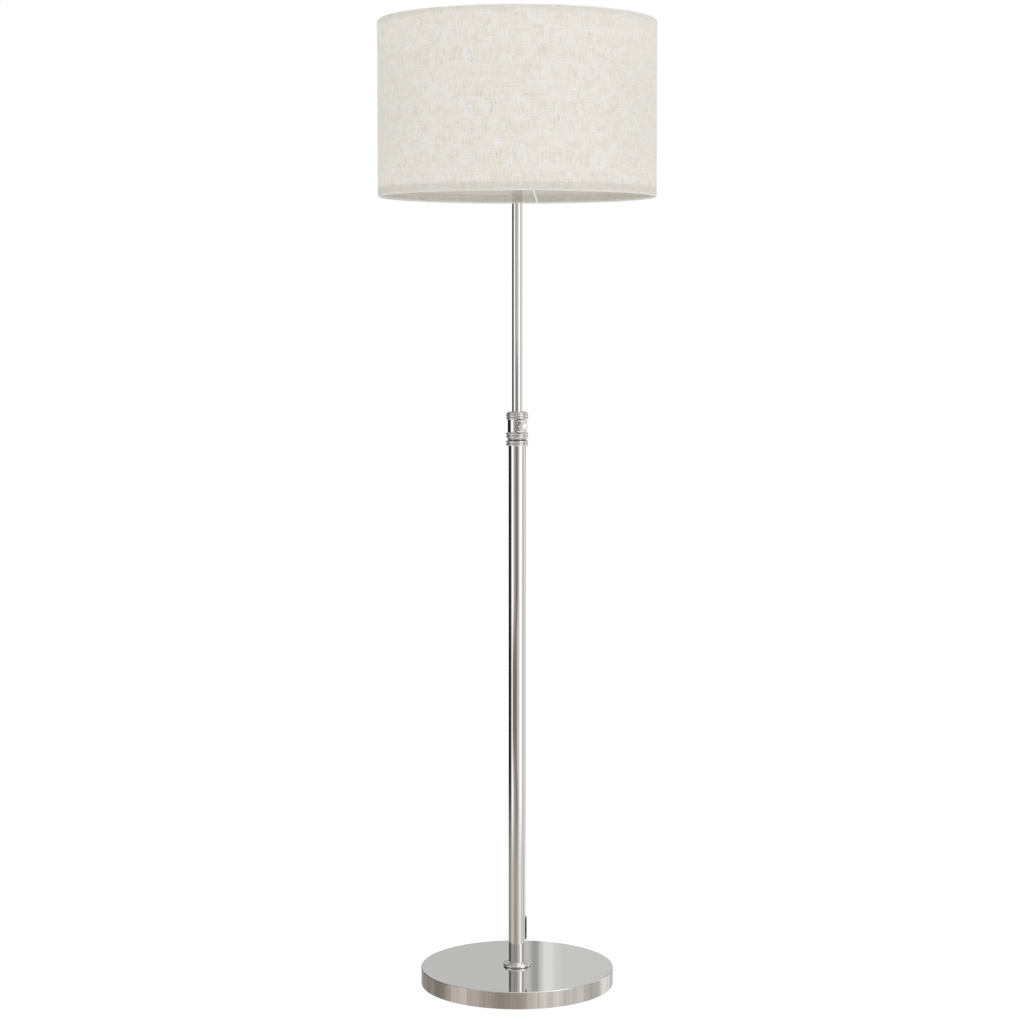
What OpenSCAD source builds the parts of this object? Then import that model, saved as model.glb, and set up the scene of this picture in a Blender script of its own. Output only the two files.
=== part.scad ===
// Telescopic floor lamp: a weighted round foot, a lower tube with a clamp head,
// an upper tube that slides and turns in it, and a linen drum shade.
// +Z is up. The origin is the centre of the foot's underside, on the floor.
// The thumb screw of the clamp points along -Y and the cord gland along +X.

/* [Foot] */
// Outer diameter of the foot
base_d = 286; // [220:1:340]
// Height of the foot over the floor, pad included
base_h = 26; // [22:0.5:34]
// Sheet thickness of the plated cover
cover_t = 1.4; // [0.8:0.1:2]
// Radius of the eased edge between the foot's top and side
cover_edge_r = 1.2; // [0.8:0.1:3]
// Thickness of the foam pad under the foot
pad_t = 2; // [1:0.5:4]
// Outer diameter of the collar round the tube's foot
foot_collar_d = 41.2; // [36:0.2:50]
// Height of that collar where it meets the tube
foot_collar_h = 7.2; // [5:0.1:12]

/* [Tubes] */
// Outer diameter of the lower tube, one inch
lower_tube_d = 25.4; // [22:0.1:32]
// Wall of the lower tube
lower_tube_wall = 1.5; // [1:0.1:2]
// Height of the lower tube's top end over the floor
lower_tube_top = 812.4; // [600:0.1:900]
// Outer diameter of the upper tube
upper_tube_d = 15; // [14:0.1:18]
// Wall of the upper tube
upper_tube_wall = 1.2; // [0.8:0.1:1.5]
// Length of the upper tube
upper_tube_len = 706.4; // [600:0.1:760]
// Height of the upper tube's top end as photographed
upper_tube_top = 1170.4; // [1120:0.1:1200]

/* [Clamp head] */
// Outer diameter over the beads
bead_d = 32.5; // [30:0.1:36]
// Radius of each bead's round section
bead_r = 2; // [1.5:0.1:2.2]
// Step from one bead to the next
bead_pitch = 4.2; // [4:0.1:5]
// Outer diameter of the plain middle
head_body_d = 28; // [27:0.1:30]
// Height of the head above the end of the lower tube
head_h = 41.4; // [41:0.1:50]
// Height of the thumb screw's axis over the floor
screw_z = 832.8; // [820:0.1:845]
// Height of the oblong boss that the screw passes through
boss_h = 19; // [15:0.1:20]
// Width of the boss
boss_w = 10; // [9:0.1:14]
// How far the boss reaches from the pole's axis
boss_reach = 17.2; // [15:0.1:20]
// Outer diameter of the thumb knob
knob_d = 14; // [13:0.5:20]
// Diameter of the knob's face
knob_face_d = 11; // [9:0.5:12]
// Length of the thumb knob
knob_len = 11; // [7:0.5:14]
// How far the knob's face stands from the pole's axis
knob_reach = 30; // [29:0.5:36]
// Diameter of the clamp screw
screw_d = 5; // [4:1:6]

/* [Cord gland] */
// Height of the gland's middle over the floor
gland_z = 82.4; // [70:0.1:120]
// Height of the gland from end to end
gland_h = 36; // [20:1:40]
// Width of the gland round the tube
gland_w = 14; // [11:0.5:16]
// How far the gland stands proud of the tube
gland_proud = 1.8; // [1:0.1:4]
// Diameter of the hole for the mains lead
gland_bore_d = 6.4; // [5:0.1:8]

/* [Flex] */
// Diameter of the flex inside the tubes
flex_d = 5; // [4:0.5:6]
// Turns of the coil that takes up the travel
coil_turns = 12; // [8:1:13]

/* [Shade] */
// Outer diameter of the drum
shade_d = 406.4; // [350:0.2:460]
// Height of the drum
shade_h = 253.6; // [200:0.2:300]
// Height of the drum's lower edge over the floor
shade_bottom = 1166.4; // [1160:0.1:1180]
// Thickness of the linen
linen_t = 0.6; // [0.4:0.1:1]
// Thickness of the plastic liner
liner_t = 0.5; // [0.3:0.1:0.8]
// Height of the linen turned in over the lower wire
bottom_hem_h = 12.4; // [8:0.1:16]
// Height of the linen turned in over the upper wire
top_hem_h = 8; // [6:0.1:16]
// Diameter of the shade's wires
wire_d = 3.2; // [2.4:0.1:4]
// Number of arms of the spider
arm_count = 3; // [3:1:4]
// Direction of the first arm, from +X towards +Y
arm_angle = 63.5; // [0:0.5:120]
// Height of the fitter ring over the drum's lower edge
fitter_rise = 69.6; // [50:0.1:72]

/* [Lamp holder and bulb] */
// Outer diameter of the holder's shell
holder_d = 33; // [32:0.5:36]
// Outer diameter of the bulb, an A19
bulb_d = 60; // [50:1:68]
// Height of the bulb's crown over the holder's mouth
bulb_rise = 90; // [80:1:100]

/* [Hidden] */

$fn = 128;
eps = 0.01;

// Gaps between pieces: a fixed fit, a running fit and a loose clearance
fixed_gap = 0.05;
running_gap = 0.06;
loose_gap = 0.3;

// Foot
base_r = base_d / 2;
cover_in_r = base_r - cover_t;
cover_low = 1;
cover_under = base_h - cover_t;
weight_r = cover_in_r - 0.3;
pad_r = weight_r - 3;
bolt_d = 10;
bolt_hole_d = 10.8;
bolt_head_r = 9.2;
bolt_head_h = 6.4;
recess_r = 24;
recess_top = 13.5;
washer_r = 18;
washer_t = 3;
bolt_low = recess_top - washer_t - bolt_head_h;
bolt_end = base_h + 26;
plug_h = 34;
plug_thread_end = base_h + 29;
collar_rim_h = 4;

// Tubes
lower_r = lower_tube_d / 2;
lower_in_r = lower_r - lower_tube_wall;
upper_r = upper_tube_d / 2;
upper_in_r = upper_r - upper_tube_wall;
upper_low = upper_tube_top - upper_tube_len;

// Clamp head, with heights counted from the end of the lower tube
bead_mid_r = bead_d / 2 - bead_r;
core_r = bead_mid_r + 0.45;
collar_low = lower_tube_top - 8.6;
collar_beads = [lower_tube_top - 7, lower_tube_top - 7 + bead_pitch];
groove_r = 13.5;
groove_h = 1.1;
cone_top = lower_tube_top + 3.2;
head_top = lower_tube_top + head_h;
body_low = lower_tube_top + 11.3;
body_high = lower_tube_top + 30.2;
low_beads = [lower_tube_top + 4.8, lower_tube_top + 4.8 + bead_pitch];
high_beads = [body_high + 1.5, body_high + 1.5 + bead_pitch];
cap_bead_z = body_high + 8.9;
cap_bead_r = 1.7;
cap_bead_mid_r = bead_mid_r - 0.6;
spigot_low = lower_tube_top - 30;
spigot_r = lower_in_r - fixed_gap;
bush_wall = 1.5;
bush_r = upper_r + running_gap + bush_wall;
bush_low = lower_tube_top - 12;
bush_top = head_top - 1.2;
boss_corner_r = 3;
thread_r = screw_d / 2 + running_gap;
knob_back = knob_reach - knob_len;
knob_r = knob_d / 2;
knob_face_r = knob_face_d / 2;
knob_bevel_h = 0.9;
knob_bevel_steps = 12;
shoe_face = upper_r + fixed_gap;
shoe_back = shoe_face + 3;
screw_tip = shoe_back + fixed_gap;

// Gland and flex
gland_slot_h = gland_h - 5;
gland_slot_w = gland_w - 5;
flex_r = flex_d / 2;
bend_r = 8.5;
tail_top = gland_z + bend_r + 14;
guide_low = upper_low + 2.4;
guide_h = 23.6;
clip_t = 1.2;
clip_r = lower_in_r - 0.9;
grommet_lip = 3;
coil_low = tail_top;
coil_high = upper_low - grommet_lip;
coil_r = lower_in_r - flex_r - 1.1;
coil_steps = 12;
coil_sides = 6;
coil_lead = 0.5;

// Holder, counted from the top end of the upper tube
neck_h = 26;
neck_top = upper_tube_top + neck_h;
nipple_r = 4.9;
nipple_in_r = 3.4;
nipple_low = upper_tube_top - 14;
nipple_top = neck_top + 4.6;
cap_low = neck_top;
cap_h = 14;
cap_t = 1.2;
locknut_r = 7.5;
locknut_h = 3;
flex_end = cap_low + 5;
lead_tilt = 32;
lead_r = 0.9;
holder_r = holder_d / 2;
shell_low = cap_low + cap_h;
shell_t = 1;
fitter_z = shade_bottom + fitter_rise;
fitter_t = 1.6;
fitter_in_r = holder_r + 0.3;
fitter_out_r = 24;
shoulder_r = 19.5;
shoulder_t = 2.4;
nut_h = 9;
nut_r = 21.5;
shell_top = fitter_z + fitter_t / 2 + nut_h + 3;
insulator_low = shell_low + 13;
insulator_h = 3.5;
insulator_r = holder_r - shell_t - 0.2;
screw_shell_r = 14.3;
screw_shell_t = 0.5;
contact_z = insulator_low + insulator_h;
bulb_cap_r = 13.2;
bulb_cap_low = contact_z + 3;
switch_z = shell_low + 7;
switch_r = 5;
spindle_r = 1.5;
switch_face = holder_r + 3;
switch_knob_r = 6;
switch_knob_len = 11;

// Bulb profile: the neck's flare meets the ball's lower circle
ball_r = bulb_d / 2;
ball_z = shell_top + bulb_rise - ball_r;
glass_t = 0.8;
glass_neck_r = 12.4;
glass_low = bulb_cap_low + 20;

// Shade
shade_r = shade_d / 2;
shade_top = shade_bottom + shade_h;
linen_in_r = shade_r - linen_t;
liner_out_r = linen_in_r - fixed_gap;
liner_in_r = liner_out_r - liner_t;
wire_r = wire_d / 2;
ring_mid_r = liner_in_r - fixed_gap - wire_r;
bottom_wire_z = shade_bottom + linen_t + wire_r + fixed_gap;
top_wire_z = shade_top - linen_t - wire_r - fixed_gap;
hem_out_r = ring_mid_r - wire_r - fixed_gap;
hem_t = 0.5;
weld = 0.4;
liner_low = shade_bottom + linen_t + fixed_gap;
liner_high = shade_top - linen_t - fixed_gap;

// A hollow round bar from z0 to z1
module pipe(r_out, r_in, z0, z1) {
    difference() {
        translate([0, 0, z0])
            cylinder(r = r_out, h = z1 - z0);
        translate([0, 0, z0 - 1])
            cylinder(r = r_in, h = z1 - z0 + 2);
    }
}

// A round bar that points from the pole's axis along -Y, from y0 to y1
module radial_bar(r, y0, y1, z) {
    translate([0, -y0, z])
        rotate([90, 0, 0])
            cylinder(r = r, h = y1 - y0);
}

// Half of the section of a row of beads on a core, to be turned round the pole's axis
module bead_row(heights) {
    for (z = heights)
        translate([bead_mid_r, z])
            circle(r = bead_r, $fn = 48);
}

// A rectangle of a turned section, from radius r0 to r1 and height z0 to z1
module turned_rect(r0, r1, z0, z1) {
    translate([r0, z0])
        square([r1 - r0, z1 - z0]);
}

// Plated sheet cover: a shallow dish with an eased edge, open below
module base_cover() {
    color("silver")
        rotate_extrude($fn = 256)
            difference() {
                union() {
                    turned_rect(0, base_r - cover_edge_r, cover_low, base_h);
                    turned_rect(0, base_r, cover_low, base_h - cover_edge_r);
                    translate([base_r - cover_edge_r, base_h - cover_edge_r])
                        circle(r = cover_edge_r, $fn = 64);
                }
                turned_rect(-eps, cover_in_r, 0, cover_under);
                turned_rect(-eps, bolt_hole_d / 2, 0, base_h + 1);
            }
}

// Cast iron disc with a recess below for the bolt's head
module base_weight() {
    color("dimgray")
        difference() {
            translate([0, 0, pad_t])
                cylinder(r = weight_r, h = cover_under - pad_t, $fn = 256);
            translate([0, 0, pad_t - 1])
                cylinder(r = recess_r, h = recess_top - pad_t + 1);
            cylinder(r = bolt_hole_d / 2, h = base_h);
        }
}

// Foam pad that the lamp stands on
module base_pad() {
    color("black")
        cylinder(r = pad_r, h = pad_t, $fn = 256);
}

// Low domed ring round the tube's foot: a round rim and a shallow cone up to the tube
module foot_collar() {
    rim_r = collar_rim_h / 2;
    rim_mid = foot_collar_d / 2 - rim_r;
    in_r = lower_r + fixed_gap;
    color("silver")
        rotate_extrude()
            difference() {
                union() {
                    translate([rim_mid, base_h + rim_r])
                        circle(r = rim_r, $fn = 48);
                    turned_rect(in_r, rim_mid, base_h, base_h + collar_rim_h);
                    polygon([[in_r, base_h + 1], [rim_mid + 0.9, base_h + collar_rim_h - 0.2],
                             [in_r + 1.6, base_h + foot_collar_h - 0.9],
                             [in_r, base_h + foot_collar_h]]);
                }
                turned_rect(0, in_r, base_h - 1, base_h + foot_collar_h + 1);
            }
}

// Steel plug fixed in the tube's lower end, with a blind threaded hole
module foot_plug() {
    color("gray")
        difference() {
            translate([0, 0, base_h])
                cylinder(r = lower_in_r - fixed_gap, h = plug_h);
            translate([0, 0, base_h - 1])
                cylinder(r = bolt_d / 2 + running_gap, h = plug_thread_end - base_h + 1);
        }
}

// Hexagon bolt that pulls the plug down on the foot
module foot_bolt() {
    color("gray")
        union() {
            translate([0, 0, bolt_low])
                cylinder(r = bolt_head_r, h = bolt_head_h, $fn = 6);
            translate([0, 0, bolt_low + bolt_head_h - eps])
                cylinder(r = bolt_d / 2, h = bolt_end - bolt_low - bolt_head_h);
        }
}

// Washer under the bolt's head
module foot_washer() {
    color("gray")
        pipe(washer_r, bolt_hole_d / 2, recess_top - washer_t, recess_top);
}

// Outline of the gland on a plane square to +X: a slot with round ends
module gland_outline(h, w) {
    for (s = [-1, 1])
        translate([0, s * (h - w) / 2])
            circle(d = w, $fn = 64);
    square([w, h - w], center = true);
}

// A slot-shaped block along +X at the gland's height
module gland_block(h, w, x0, x1) {
    translate([x0, 0, gland_z])
        rotate([90, 0, 90])
            linear_extrude(height = x1 - x0)
                gland_outline(h, w);
}

// Lower tube with the slot that the gland sits in
module lower_tube() {
    color("silver")
        difference() {
            pipe(lower_r, lower_in_r, base_h, lower_tube_top);
            gland_block(gland_slot_h + 2 * fixed_gap, gland_slot_w + 2 * fixed_gap, 4, lower_r + 4);
        }
}

// Rubber gland: a neck through the slot and a curved flange outside, with a hole for the lead
module cord_gland() {
    color("black")
        difference() {
            union() {
                difference() {
                    intersection() {
                        gland_block(gland_h, gland_w, lower_r / 2, lower_r + gland_proud + 1);
                        cylinder(r = lower_r + gland_proud, h = lower_tube_top);
                    }
                    cylinder(r = lower_r + fixed_gap, h = lower_tube_top);
                }
                difference() {
                    gland_block(gland_slot_h, gland_slot_w + eps, lower_in_r - 1, lower_r + 1);
                    cylinder(r = lower_in_r - 1.4, h = lower_tube_top);
                }
            }
            translate([0, 0, gland_z])
                rotate([0, 90, 0])
                    cylinder(r = gland_bore_d / 2, h = lower_r + 10);
        }
}

// Beaded ring fixed on the top end of the lower tube
module tube_collar() {
    color("silver")
        rotate_extrude()
            difference() {
                union() {
                    bead_row(collar_beads);
                    turned_rect(lower_r, core_r, collar_low, lower_tube_top - groove_h);
                    turned_rect(lower_r, groove_r, collar_low, lower_tube_top);
                }
                turned_rect(0, lower_r + fixed_gap, collar_low - 3, lower_tube_top + 1);
            }
}

// Half section of the clamp head: spigot, cone, beads, plain middle, beads and top
module clamp_head_section() {
    difference() {
        union() {
            turned_rect(bush_r, spigot_r, spigot_low, lower_tube_top + 1);
            polygon([[bush_r, lower_tube_top], [groove_r, lower_tube_top], [core_r + 0.4, cone_top],
                     [core_r, cone_top + 1], [bush_r, cone_top + 1]]);
            turned_rect(bush_r, core_r, cone_top, body_low);
            bead_row(low_beads);
            turned_rect(bush_r, head_body_d / 2, body_low - 1, body_high + 1);
            bead_row(high_beads);
            turned_rect(bush_r, core_r, body_high, high_beads[1] + 1);
            turned_rect(bush_r, cap_bead_mid_r + 0.3, high_beads[1], head_top);
            translate([cap_bead_mid_r, cap_bead_z])
                circle(r = cap_bead_r, $fn = 48);
        }
        turned_rect(0, bush_r + fixed_gap, spigot_low - 1, head_top + 1);
    }
}

// Outline of the boss as seen along Y: an upright oblong with rounded corners
module boss_outline() {
    for (x = [-1, 1], z = [-1, 1])
        translate([x * (boss_w / 2 - boss_corner_r), z * (boss_h / 2 - boss_corner_r)])
            circle(r = boss_corner_r, $fn = 48);
    square([boss_w, boss_h - 2 * boss_corner_r], center = true);
    square([boss_w - 2 * boss_corner_r, boss_h], center = true);
}

// Turned clamp head with the boss that the thumb screw passes through
module clamp_head() {
    color("silver")
        difference() {
            union() {
                rotate_extrude()
                    clamp_head_section();
                difference() {
                    translate([0, -bush_r - 1, screw_z])
                        rotate([90, 0, 0])
                            linear_extrude(height = boss_reach - bush_r - 1)
                                boss_outline();
                    cylinder(r = bush_r + 0.5, h = head_top + 1);
                }
            }
            radial_bar(thread_r, 5, boss_reach + 1, screw_z);
        }
}

// Nylon sleeve in the head, in which the upper tube slides and turns
module head_bush() {
    color("ivory")
        difference() {
            pipe(bush_r, upper_r + running_gap, bush_low, bush_top);
            radial_bar(thread_r, 5, 14, screw_z);
        }
}

// Brass pellet that the screw presses on the upper tube
module clamp_shoe() {
    color("goldenrod")
        difference() {
            radial_bar(screw_d / 2, upper_r - 2, shoe_back, screw_z);
            cylinder(r = shoe_face, h = head_top);
        }
}

// Threaded stem of the thumb screw
module clamp_screw() {
    color("silver")
        radial_bar(screw_d / 2, screw_tip, knob_back + 3, screw_z);
}

// Thumb knob: a turned button with a short round bevel, a dished face and a hole for the stem
module clamp_knob() {
    dish = 0.5;
    stem_hole = 3 + fixed_gap;
    bevel = [for (k = [0:knob_bevel_steps])
                 let (a = 90 * k / knob_bevel_steps)
                 [knob_face_r + (knob_r - knob_face_r) * cos(a), knob_len - knob_bevel_h * (1 - sin(a))]];
    color("silver")
        translate([0, -knob_back, screw_z])
            rotate([90, 0, 0])
                rotate_extrude()
                    difference() {
                        polygon(concat([[0, 0], [knob_r - 0.6, 0], [knob_r, 0.6]], bevel, [[0, knob_len]]));
                        turned_rect(-eps, knob_face_r - 0.7, knob_len - dish, knob_len + 1);
                        turned_rect(-eps, screw_d / 2 + fixed_gap, -1, stem_hole);
                    }
}

// Flex between the gland and the foot of the coil: a short run in, a bend and a run up
module flex_tail() {
    color("white")
        union() {
            translate([bend_r, 0, gland_z + bend_r])
                rotate([90, 180, 0])
                    rotate_extrude(angle = 90)
                        translate([bend_r, 0])
                            circle(r = flex_r, $fn = 32);
            translate([0, 0, gland_z + bend_r])
                cylinder(r = flex_r, h = tail_top - gland_z - bend_r - fixed_gap, $fn = 32);
        }
}

// Centre line of the coil: it leaves the axis, winds, and comes back to the axis
function coil_ease(t) = max(0, min(1, t / coil_lead, (coil_turns - t) / coil_lead));
function coil_point(t) =
    let (e = coil_ease(t), r = coil_r * (3 - 2 * e) * e * e, a = 360 * t)
    [r * cos(a), r * sin(a), coil_low + (coil_high - coil_low) * t / coil_turns];
coil_last = coil_turns * coil_steps;
coil_path = [for (i = [0:coil_last]) coil_point(i / coil_steps)];

// Least gap from one turn of the coil to the next
turn_steps = [for (i = [0:coil_last - coil_steps]) norm(coil_path[i + coil_steps] - coil_path[i])];
coil_gap = min(turn_steps) - flex_d;
echo(coil_gap = coil_gap);

// Direction of the coil at a step, upright at both ends
function unit(v) = v / norm(v);
function coil_dir(i) =
    i == 0 || i == coil_last ? [0, 0, 1] : unit(coil_path[i + 1] - coil_path[i - 1]);

// Ring of points round the coil's centre line, counted from the side away from the pole's axis
function coil_ring(i) =
    let (d = coil_dir(i), a = 360 * i / coil_steps, out = [cos(a), sin(a), 0],
         u = unit(out - (out * d) * d), v = cross(d, u))
    [for (k = [0:coil_sides - 1])
        coil_path[i] + flex_r * (cos(360 * k / coil_sides) * u + sin(360 * k / coil_sides) * v)];

// Coiled flex in the lower tube, which stretches and closes as the upper tube slides
module flex_coil() {
    points = [for (i = [0:coil_last]) each coil_ring(i)];
    sides = [for (i = [0:coil_last - 1], k = [0:coil_sides - 1], half = [0, 1])
                 let (a = i * coil_sides + k, b = i * coil_sides + (k + 1) % coil_sides)
                 half == 0 ? [a, b + coil_sides, b] : [a, a + coil_sides, b + coil_sides]];
    ends = [[for (k = [0:coil_sides - 1]) k],
            [for (k = [0:coil_sides - 1]) coil_last * coil_sides + coil_sides - 1 - k]];
    color("white")
        polyhedron(points = points, faces = concat(sides, ends), convexity = 10);
}

// Straight flex in the upper tube, up into the holder's cap
module flex_upper() {
    color("white")
        translate([0, 0, coil_high + fixed_gap])
            cylinder(r = flex_r, h = flex_end - coil_high - fixed_gap, $fn = 32);
}

// Two cores that fan out from the flex to the holder's terminals
module holder_leads() {
    lead_low = flex_end + 0.6;
    lead_len = (insulator_low - lead_low - 0.6) / cos(lead_tilt);
    color("white")
        for (s = [-1, 1])
            translate([s * 1.1, 0, lead_low])
                rotate([0, s * lead_tilt, 0])
                    cylinder(r = lead_r, h = lead_len, $fn = 24);
}

// Nylon guide that runs in the lower tube
module tube_guide() {
    color("ivory")
        pipe(lower_in_r - 0.08, upper_r + running_gap, guide_low, guide_low + guide_h);
}

// Two snap rings that hold the guide on the tube
module guide_clips() {
    color("gray")
        for (z = [guide_low - 0.1 - clip_t, guide_low + guide_h + 0.1])
            pipe(clip_r, upper_r + 0.02, z, z + clip_t);
}

// Upper tube, which slides and turns in the clamp head
module upper_tube() {
    color("silver")
        pipe(upper_r, upper_in_r, upper_low, upper_tube_top);
}

// Bush at the tube's lower end that keeps the flex off the cut edge
module flex_grommet() {
    in_r = flex_r + 0.15;
    color("black")
        union() {
            pipe(upper_in_r - fixed_gap, in_r, upper_low - eps, upper_low + 8);
            pipe(upper_r - 0.2, in_r, upper_low - grommet_lip, upper_low);
        }
}

// Threaded plug fixed in the tube's top end
module tube_plug() {
    color("goldenrod")
        pipe(upper_in_r - fixed_gap, nipple_r + fixed_gap, upper_tube_top - 16, upper_tube_top);
}

// Collar screwed down on the tube's end, below the holder
module neck_collar() {
    edge = 0.8;
    in_r = nipple_r + fixed_gap;
    color("silver")
        rotate_extrude()
            difference() {
                union() {
                    turned_rect(in_r, upper_r - edge, upper_tube_top, neck_top);
                    turned_rect(in_r, upper_r, upper_tube_top + edge, neck_top - edge);
                    for (z = [upper_tube_top + edge, neck_top - edge])
                        translate([upper_r - edge, z])
                            circle(r = edge, $fn = 32);
                }
                turned_rect(0, in_r, upper_tube_top - 1, neck_top + 1);
            }
}

// Hollow threaded nipple that joins plug, collar and holder cap
module threaded_nipple() {
    color("goldenrod")
        pipe(nipple_r, nipple_in_r, nipple_low, nipple_top);
}

// Nut that holds the holder's cap on the nipple
module holder_locknut() {
    color("goldenrod")
        difference() {
            translate([0, 0, cap_low + cap_t])
                cylinder(r = locknut_r, h = locknut_h, $fn = 6);
            cylinder(r = nipple_r + fixed_gap, h = cap_low + cap_h);
        }
}

// Spun cap at the bottom of the holder
module holder_cap() {
    color("silver")
        rotate_extrude()
            difference() {
                polygon([[nipple_r + fixed_gap, cap_low], [9.5, cap_low], [13.4, cap_low + 4],
                         [holder_r, cap_low + 9.4], [holder_r, shell_low],
                         [nipple_r + fixed_gap, shell_low]]);
                polygon([[0, cap_low + cap_t], [9, cap_low + cap_t], [12.4, cap_low + 4.6],
                         [holder_r - shell_t, cap_low + 9.9], [holder_r - shell_t, shell_low + 1],
                         [0, shell_low + 1]]);
            }
}

// Outer shell of the holder with the shoulder that carries the shade
module holder_shell() {
    shoulder_top = fitter_z - fitter_t / 2;
    color("whitesmoke")
        difference() {
            rotate_extrude()
                difference() {
                    union() {
                        turned_rect(holder_r - shell_t, holder_r, shell_low, shell_top);
                        turned_rect(holder_r - shell_t, shoulder_r, shoulder_top - shoulder_t, shoulder_top);
                    }
                    turned_rect(0, holder_r - shell_t, shell_low - 1, shell_top + 1);
                }
            radial_bar(switch_r + fixed_gap, 8, holder_r + 2, switch_z);
        }
}

// Insulating floor that carries the contacts
module holder_insulator() {
    color("saddlebrown")
        translate([0, 0, insulator_low])
            cylinder(r = insulator_r, h = insulator_h);
}

// Threaded shell that takes the bulb's cap
module screw_shell() {
    color("gold")
        pipe(screw_shell_r, screw_shell_r - screw_shell_t, contact_z, shell_top - 4);
}

// Spring contact in the middle of the floor
module centre_contact() {
    color("gold")
        union() {
            translate([0, 0, contact_z])
                cylinder(r = 4, h = 1);
            translate([0, 0, contact_z + 1 - eps])
                cylinder(r = 2.2, h = bulb_cap_low - contact_z - 1 - fixed_gap + eps);
        }
}

// Ring that screws down on the fitter
module shade_ring_nut() {
    nut_low = fitter_z + fitter_t / 2;
    color("whitesmoke")
        rotate_extrude()
            union() {
                turned_rect(holder_r + fixed_gap, nut_r, nut_low, nut_low + 3);
                turned_rect(holder_r + fixed_gap, holder_r + 2.2, nut_low, nut_low + nut_h);
            }
}

// Switch body under the insulating floor, with its sleeve out through the shell
module switch_housing() {
    color("black")
        difference() {
            radial_bar(switch_r, 5, switch_face, switch_z);
            radial_bar(spindle_r + running_gap, holder_r - 5, switch_face + 1, switch_z);
        }
}

// Turn knob of the switch, with its spindle
module switch_knob() {
    color("black")
        union() {
            radial_bar(spindle_r, holder_r - 4.5, switch_face + 1, switch_z);
            radial_bar(switch_knob_r, switch_face + loose_gap, switch_face + switch_knob_len, switch_z);
        }
}

// Half section of the bulb's glass, thicker by grow: ball, flare and neck
module bulb_section(grow) {
    flare_z = shell_top + 6;
    translate([0, ball_z])
        circle(r = ball_r + grow, $fn = 128);
    polygon([[0, glass_low - grow], [glass_neck_r + grow, glass_low - grow],
             [glass_neck_r + grow, flare_z], [17 + grow, flare_z + 13],
             [24.6 + grow, ball_z - 15.5], [0, ball_z]]);
}

// Frosted glass of the bulb, open at the cap
module bulb_glass() {
    color("white")
        rotate_extrude()
            intersection() {
                difference() {
                    bulb_section(0);
                    bulb_section(-glass_t);
                    turned_rect(-eps, glass_neck_r - glass_t, glass_low - 1, glass_low + 5);
                }
                turned_rect(0, 60, glass_low, ball_z + ball_r + 1);
            }
}

// Screw cap of the bulb
module bulb_cap() {
    color("silver")
        rotate_extrude()
            difference() {
                union() {
                    turned_rect(0, 4.5, bulb_cap_low, bulb_cap_low + 4);
                    polygon([[0, bulb_cap_low + 2], [4.5, bulb_cap_low + 2], [bulb_cap_r, bulb_cap_low + 6],
                             [bulb_cap_r, bulb_cap_low + 25], [0, bulb_cap_low + 25]]);
                }
                turned_rect(-eps, glass_neck_r + fixed_gap, glass_low - 1, bulb_cap_low + 26);
            }
}

// Washer of the spider, which sits on the holder's shoulder
module fitter_ring() {
    color("white")
        pipe(fitter_out_r, fitter_in_r, fitter_z - fitter_t / 2, fitter_z + fitter_t / 2);
}

// Bars of radius r where the arms run, from the lower ring up to the fitter ring
module arm_bars(r) {
    arm_in = fitter_out_r - weld;
    arm_out = ring_mid_r - wire_r + weld;
    run = arm_out - arm_in;
    rise = fitter_z - bottom_wire_z;
    for (k = [0:arm_count - 1])
        rotate([0, 0, arm_angle + 360 * k / arm_count])
            translate([arm_out, 0, bottom_wire_z])
                rotate([0, -atan2(run, rise), 0])
                    cylinder(r = r, h = norm([run, rise]), $fn = 32);
}

// Wire arms of the spider, welded to the lower ring and to the fitter ring
module spider_arms() {
    color("white")
        arm_bars(wire_r);
}

// Wire ring of the shade at a height
module shade_wire(z) {
    color("white")
        translate([0, 0, z])
            rotate_extrude($fn = 180)
                translate([ring_mid_r, 0])
                    circle(r = wire_r, $fn = 32);
}

module shade_bottom_ring() {
    shade_wire(bottom_wire_z);
}

module shade_top_ring() {
    shade_wire(top_wire_z);
}

// Clear plastic drum that the linen is laminated to
module shade_liner() {
    color("whitesmoke")
        rotate_extrude($fn = 180)
            turned_rect(liner_in_r, liner_out_r, liner_low, liner_high);
}

// Linen drum, with its edges turned in over the wires
module shade_linen() {
    color("linen")
        rotate_extrude($fn = 180)
            union() {
                turned_rect(linen_in_r, shade_r, shade_bottom, shade_top);
                turned_rect(hem_out_r - hem_t, shade_r, shade_bottom, shade_bottom + linen_t);
                turned_rect(hem_out_r - hem_t, shade_r, shade_top - linen_t, shade_top);
            }
}

// Linen turned over inside, from height z0 to z1
module shade_hem(z0, z1) {
    rotate_extrude($fn = 180)
        turned_rect(hem_out_r - hem_t, hem_out_r, z0, z1);
}

// Turned-up hem round the lower wire, notched for the arms
module shade_bottom_hem() {
    color("tan")
        difference() {
            shade_hem(shade_bottom + linen_t, shade_bottom + bottom_hem_h);
            arm_bars(wire_r + loose_gap);
        }
}

module shade_top_hem() {
    color("tan")
        shade_hem(shade_top - top_hem_h, shade_top - linen_t);
}

base_cover();
base_weight();
base_pad();
foot_collar();
foot_plug();
foot_bolt();
foot_washer();
lower_tube();
cord_gland();
tube_collar();
clamp_head();
head_bush();
flex_tail();
flex_coil();
clamp_shoe();
clamp_screw();
clamp_knob();
tube_guide();
guide_clips();
upper_tube();
flex_grommet();
tube_plug();
neck_collar();
threaded_nipple();
flex_upper();
holder_leads();
holder_locknut();
holder_cap();
holder_shell();
holder_insulator();
screw_shell();
centre_contact();
shade_ring_nut();
switch_housing();
switch_knob();
bulb_glass();
bulb_cap();
fitter_ring();
spider_arms();
shade_bottom_ring();
shade_top_ring();
shade_liner();
shade_linen();
shade_bottom_hem();
shade_top_hem();
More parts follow.
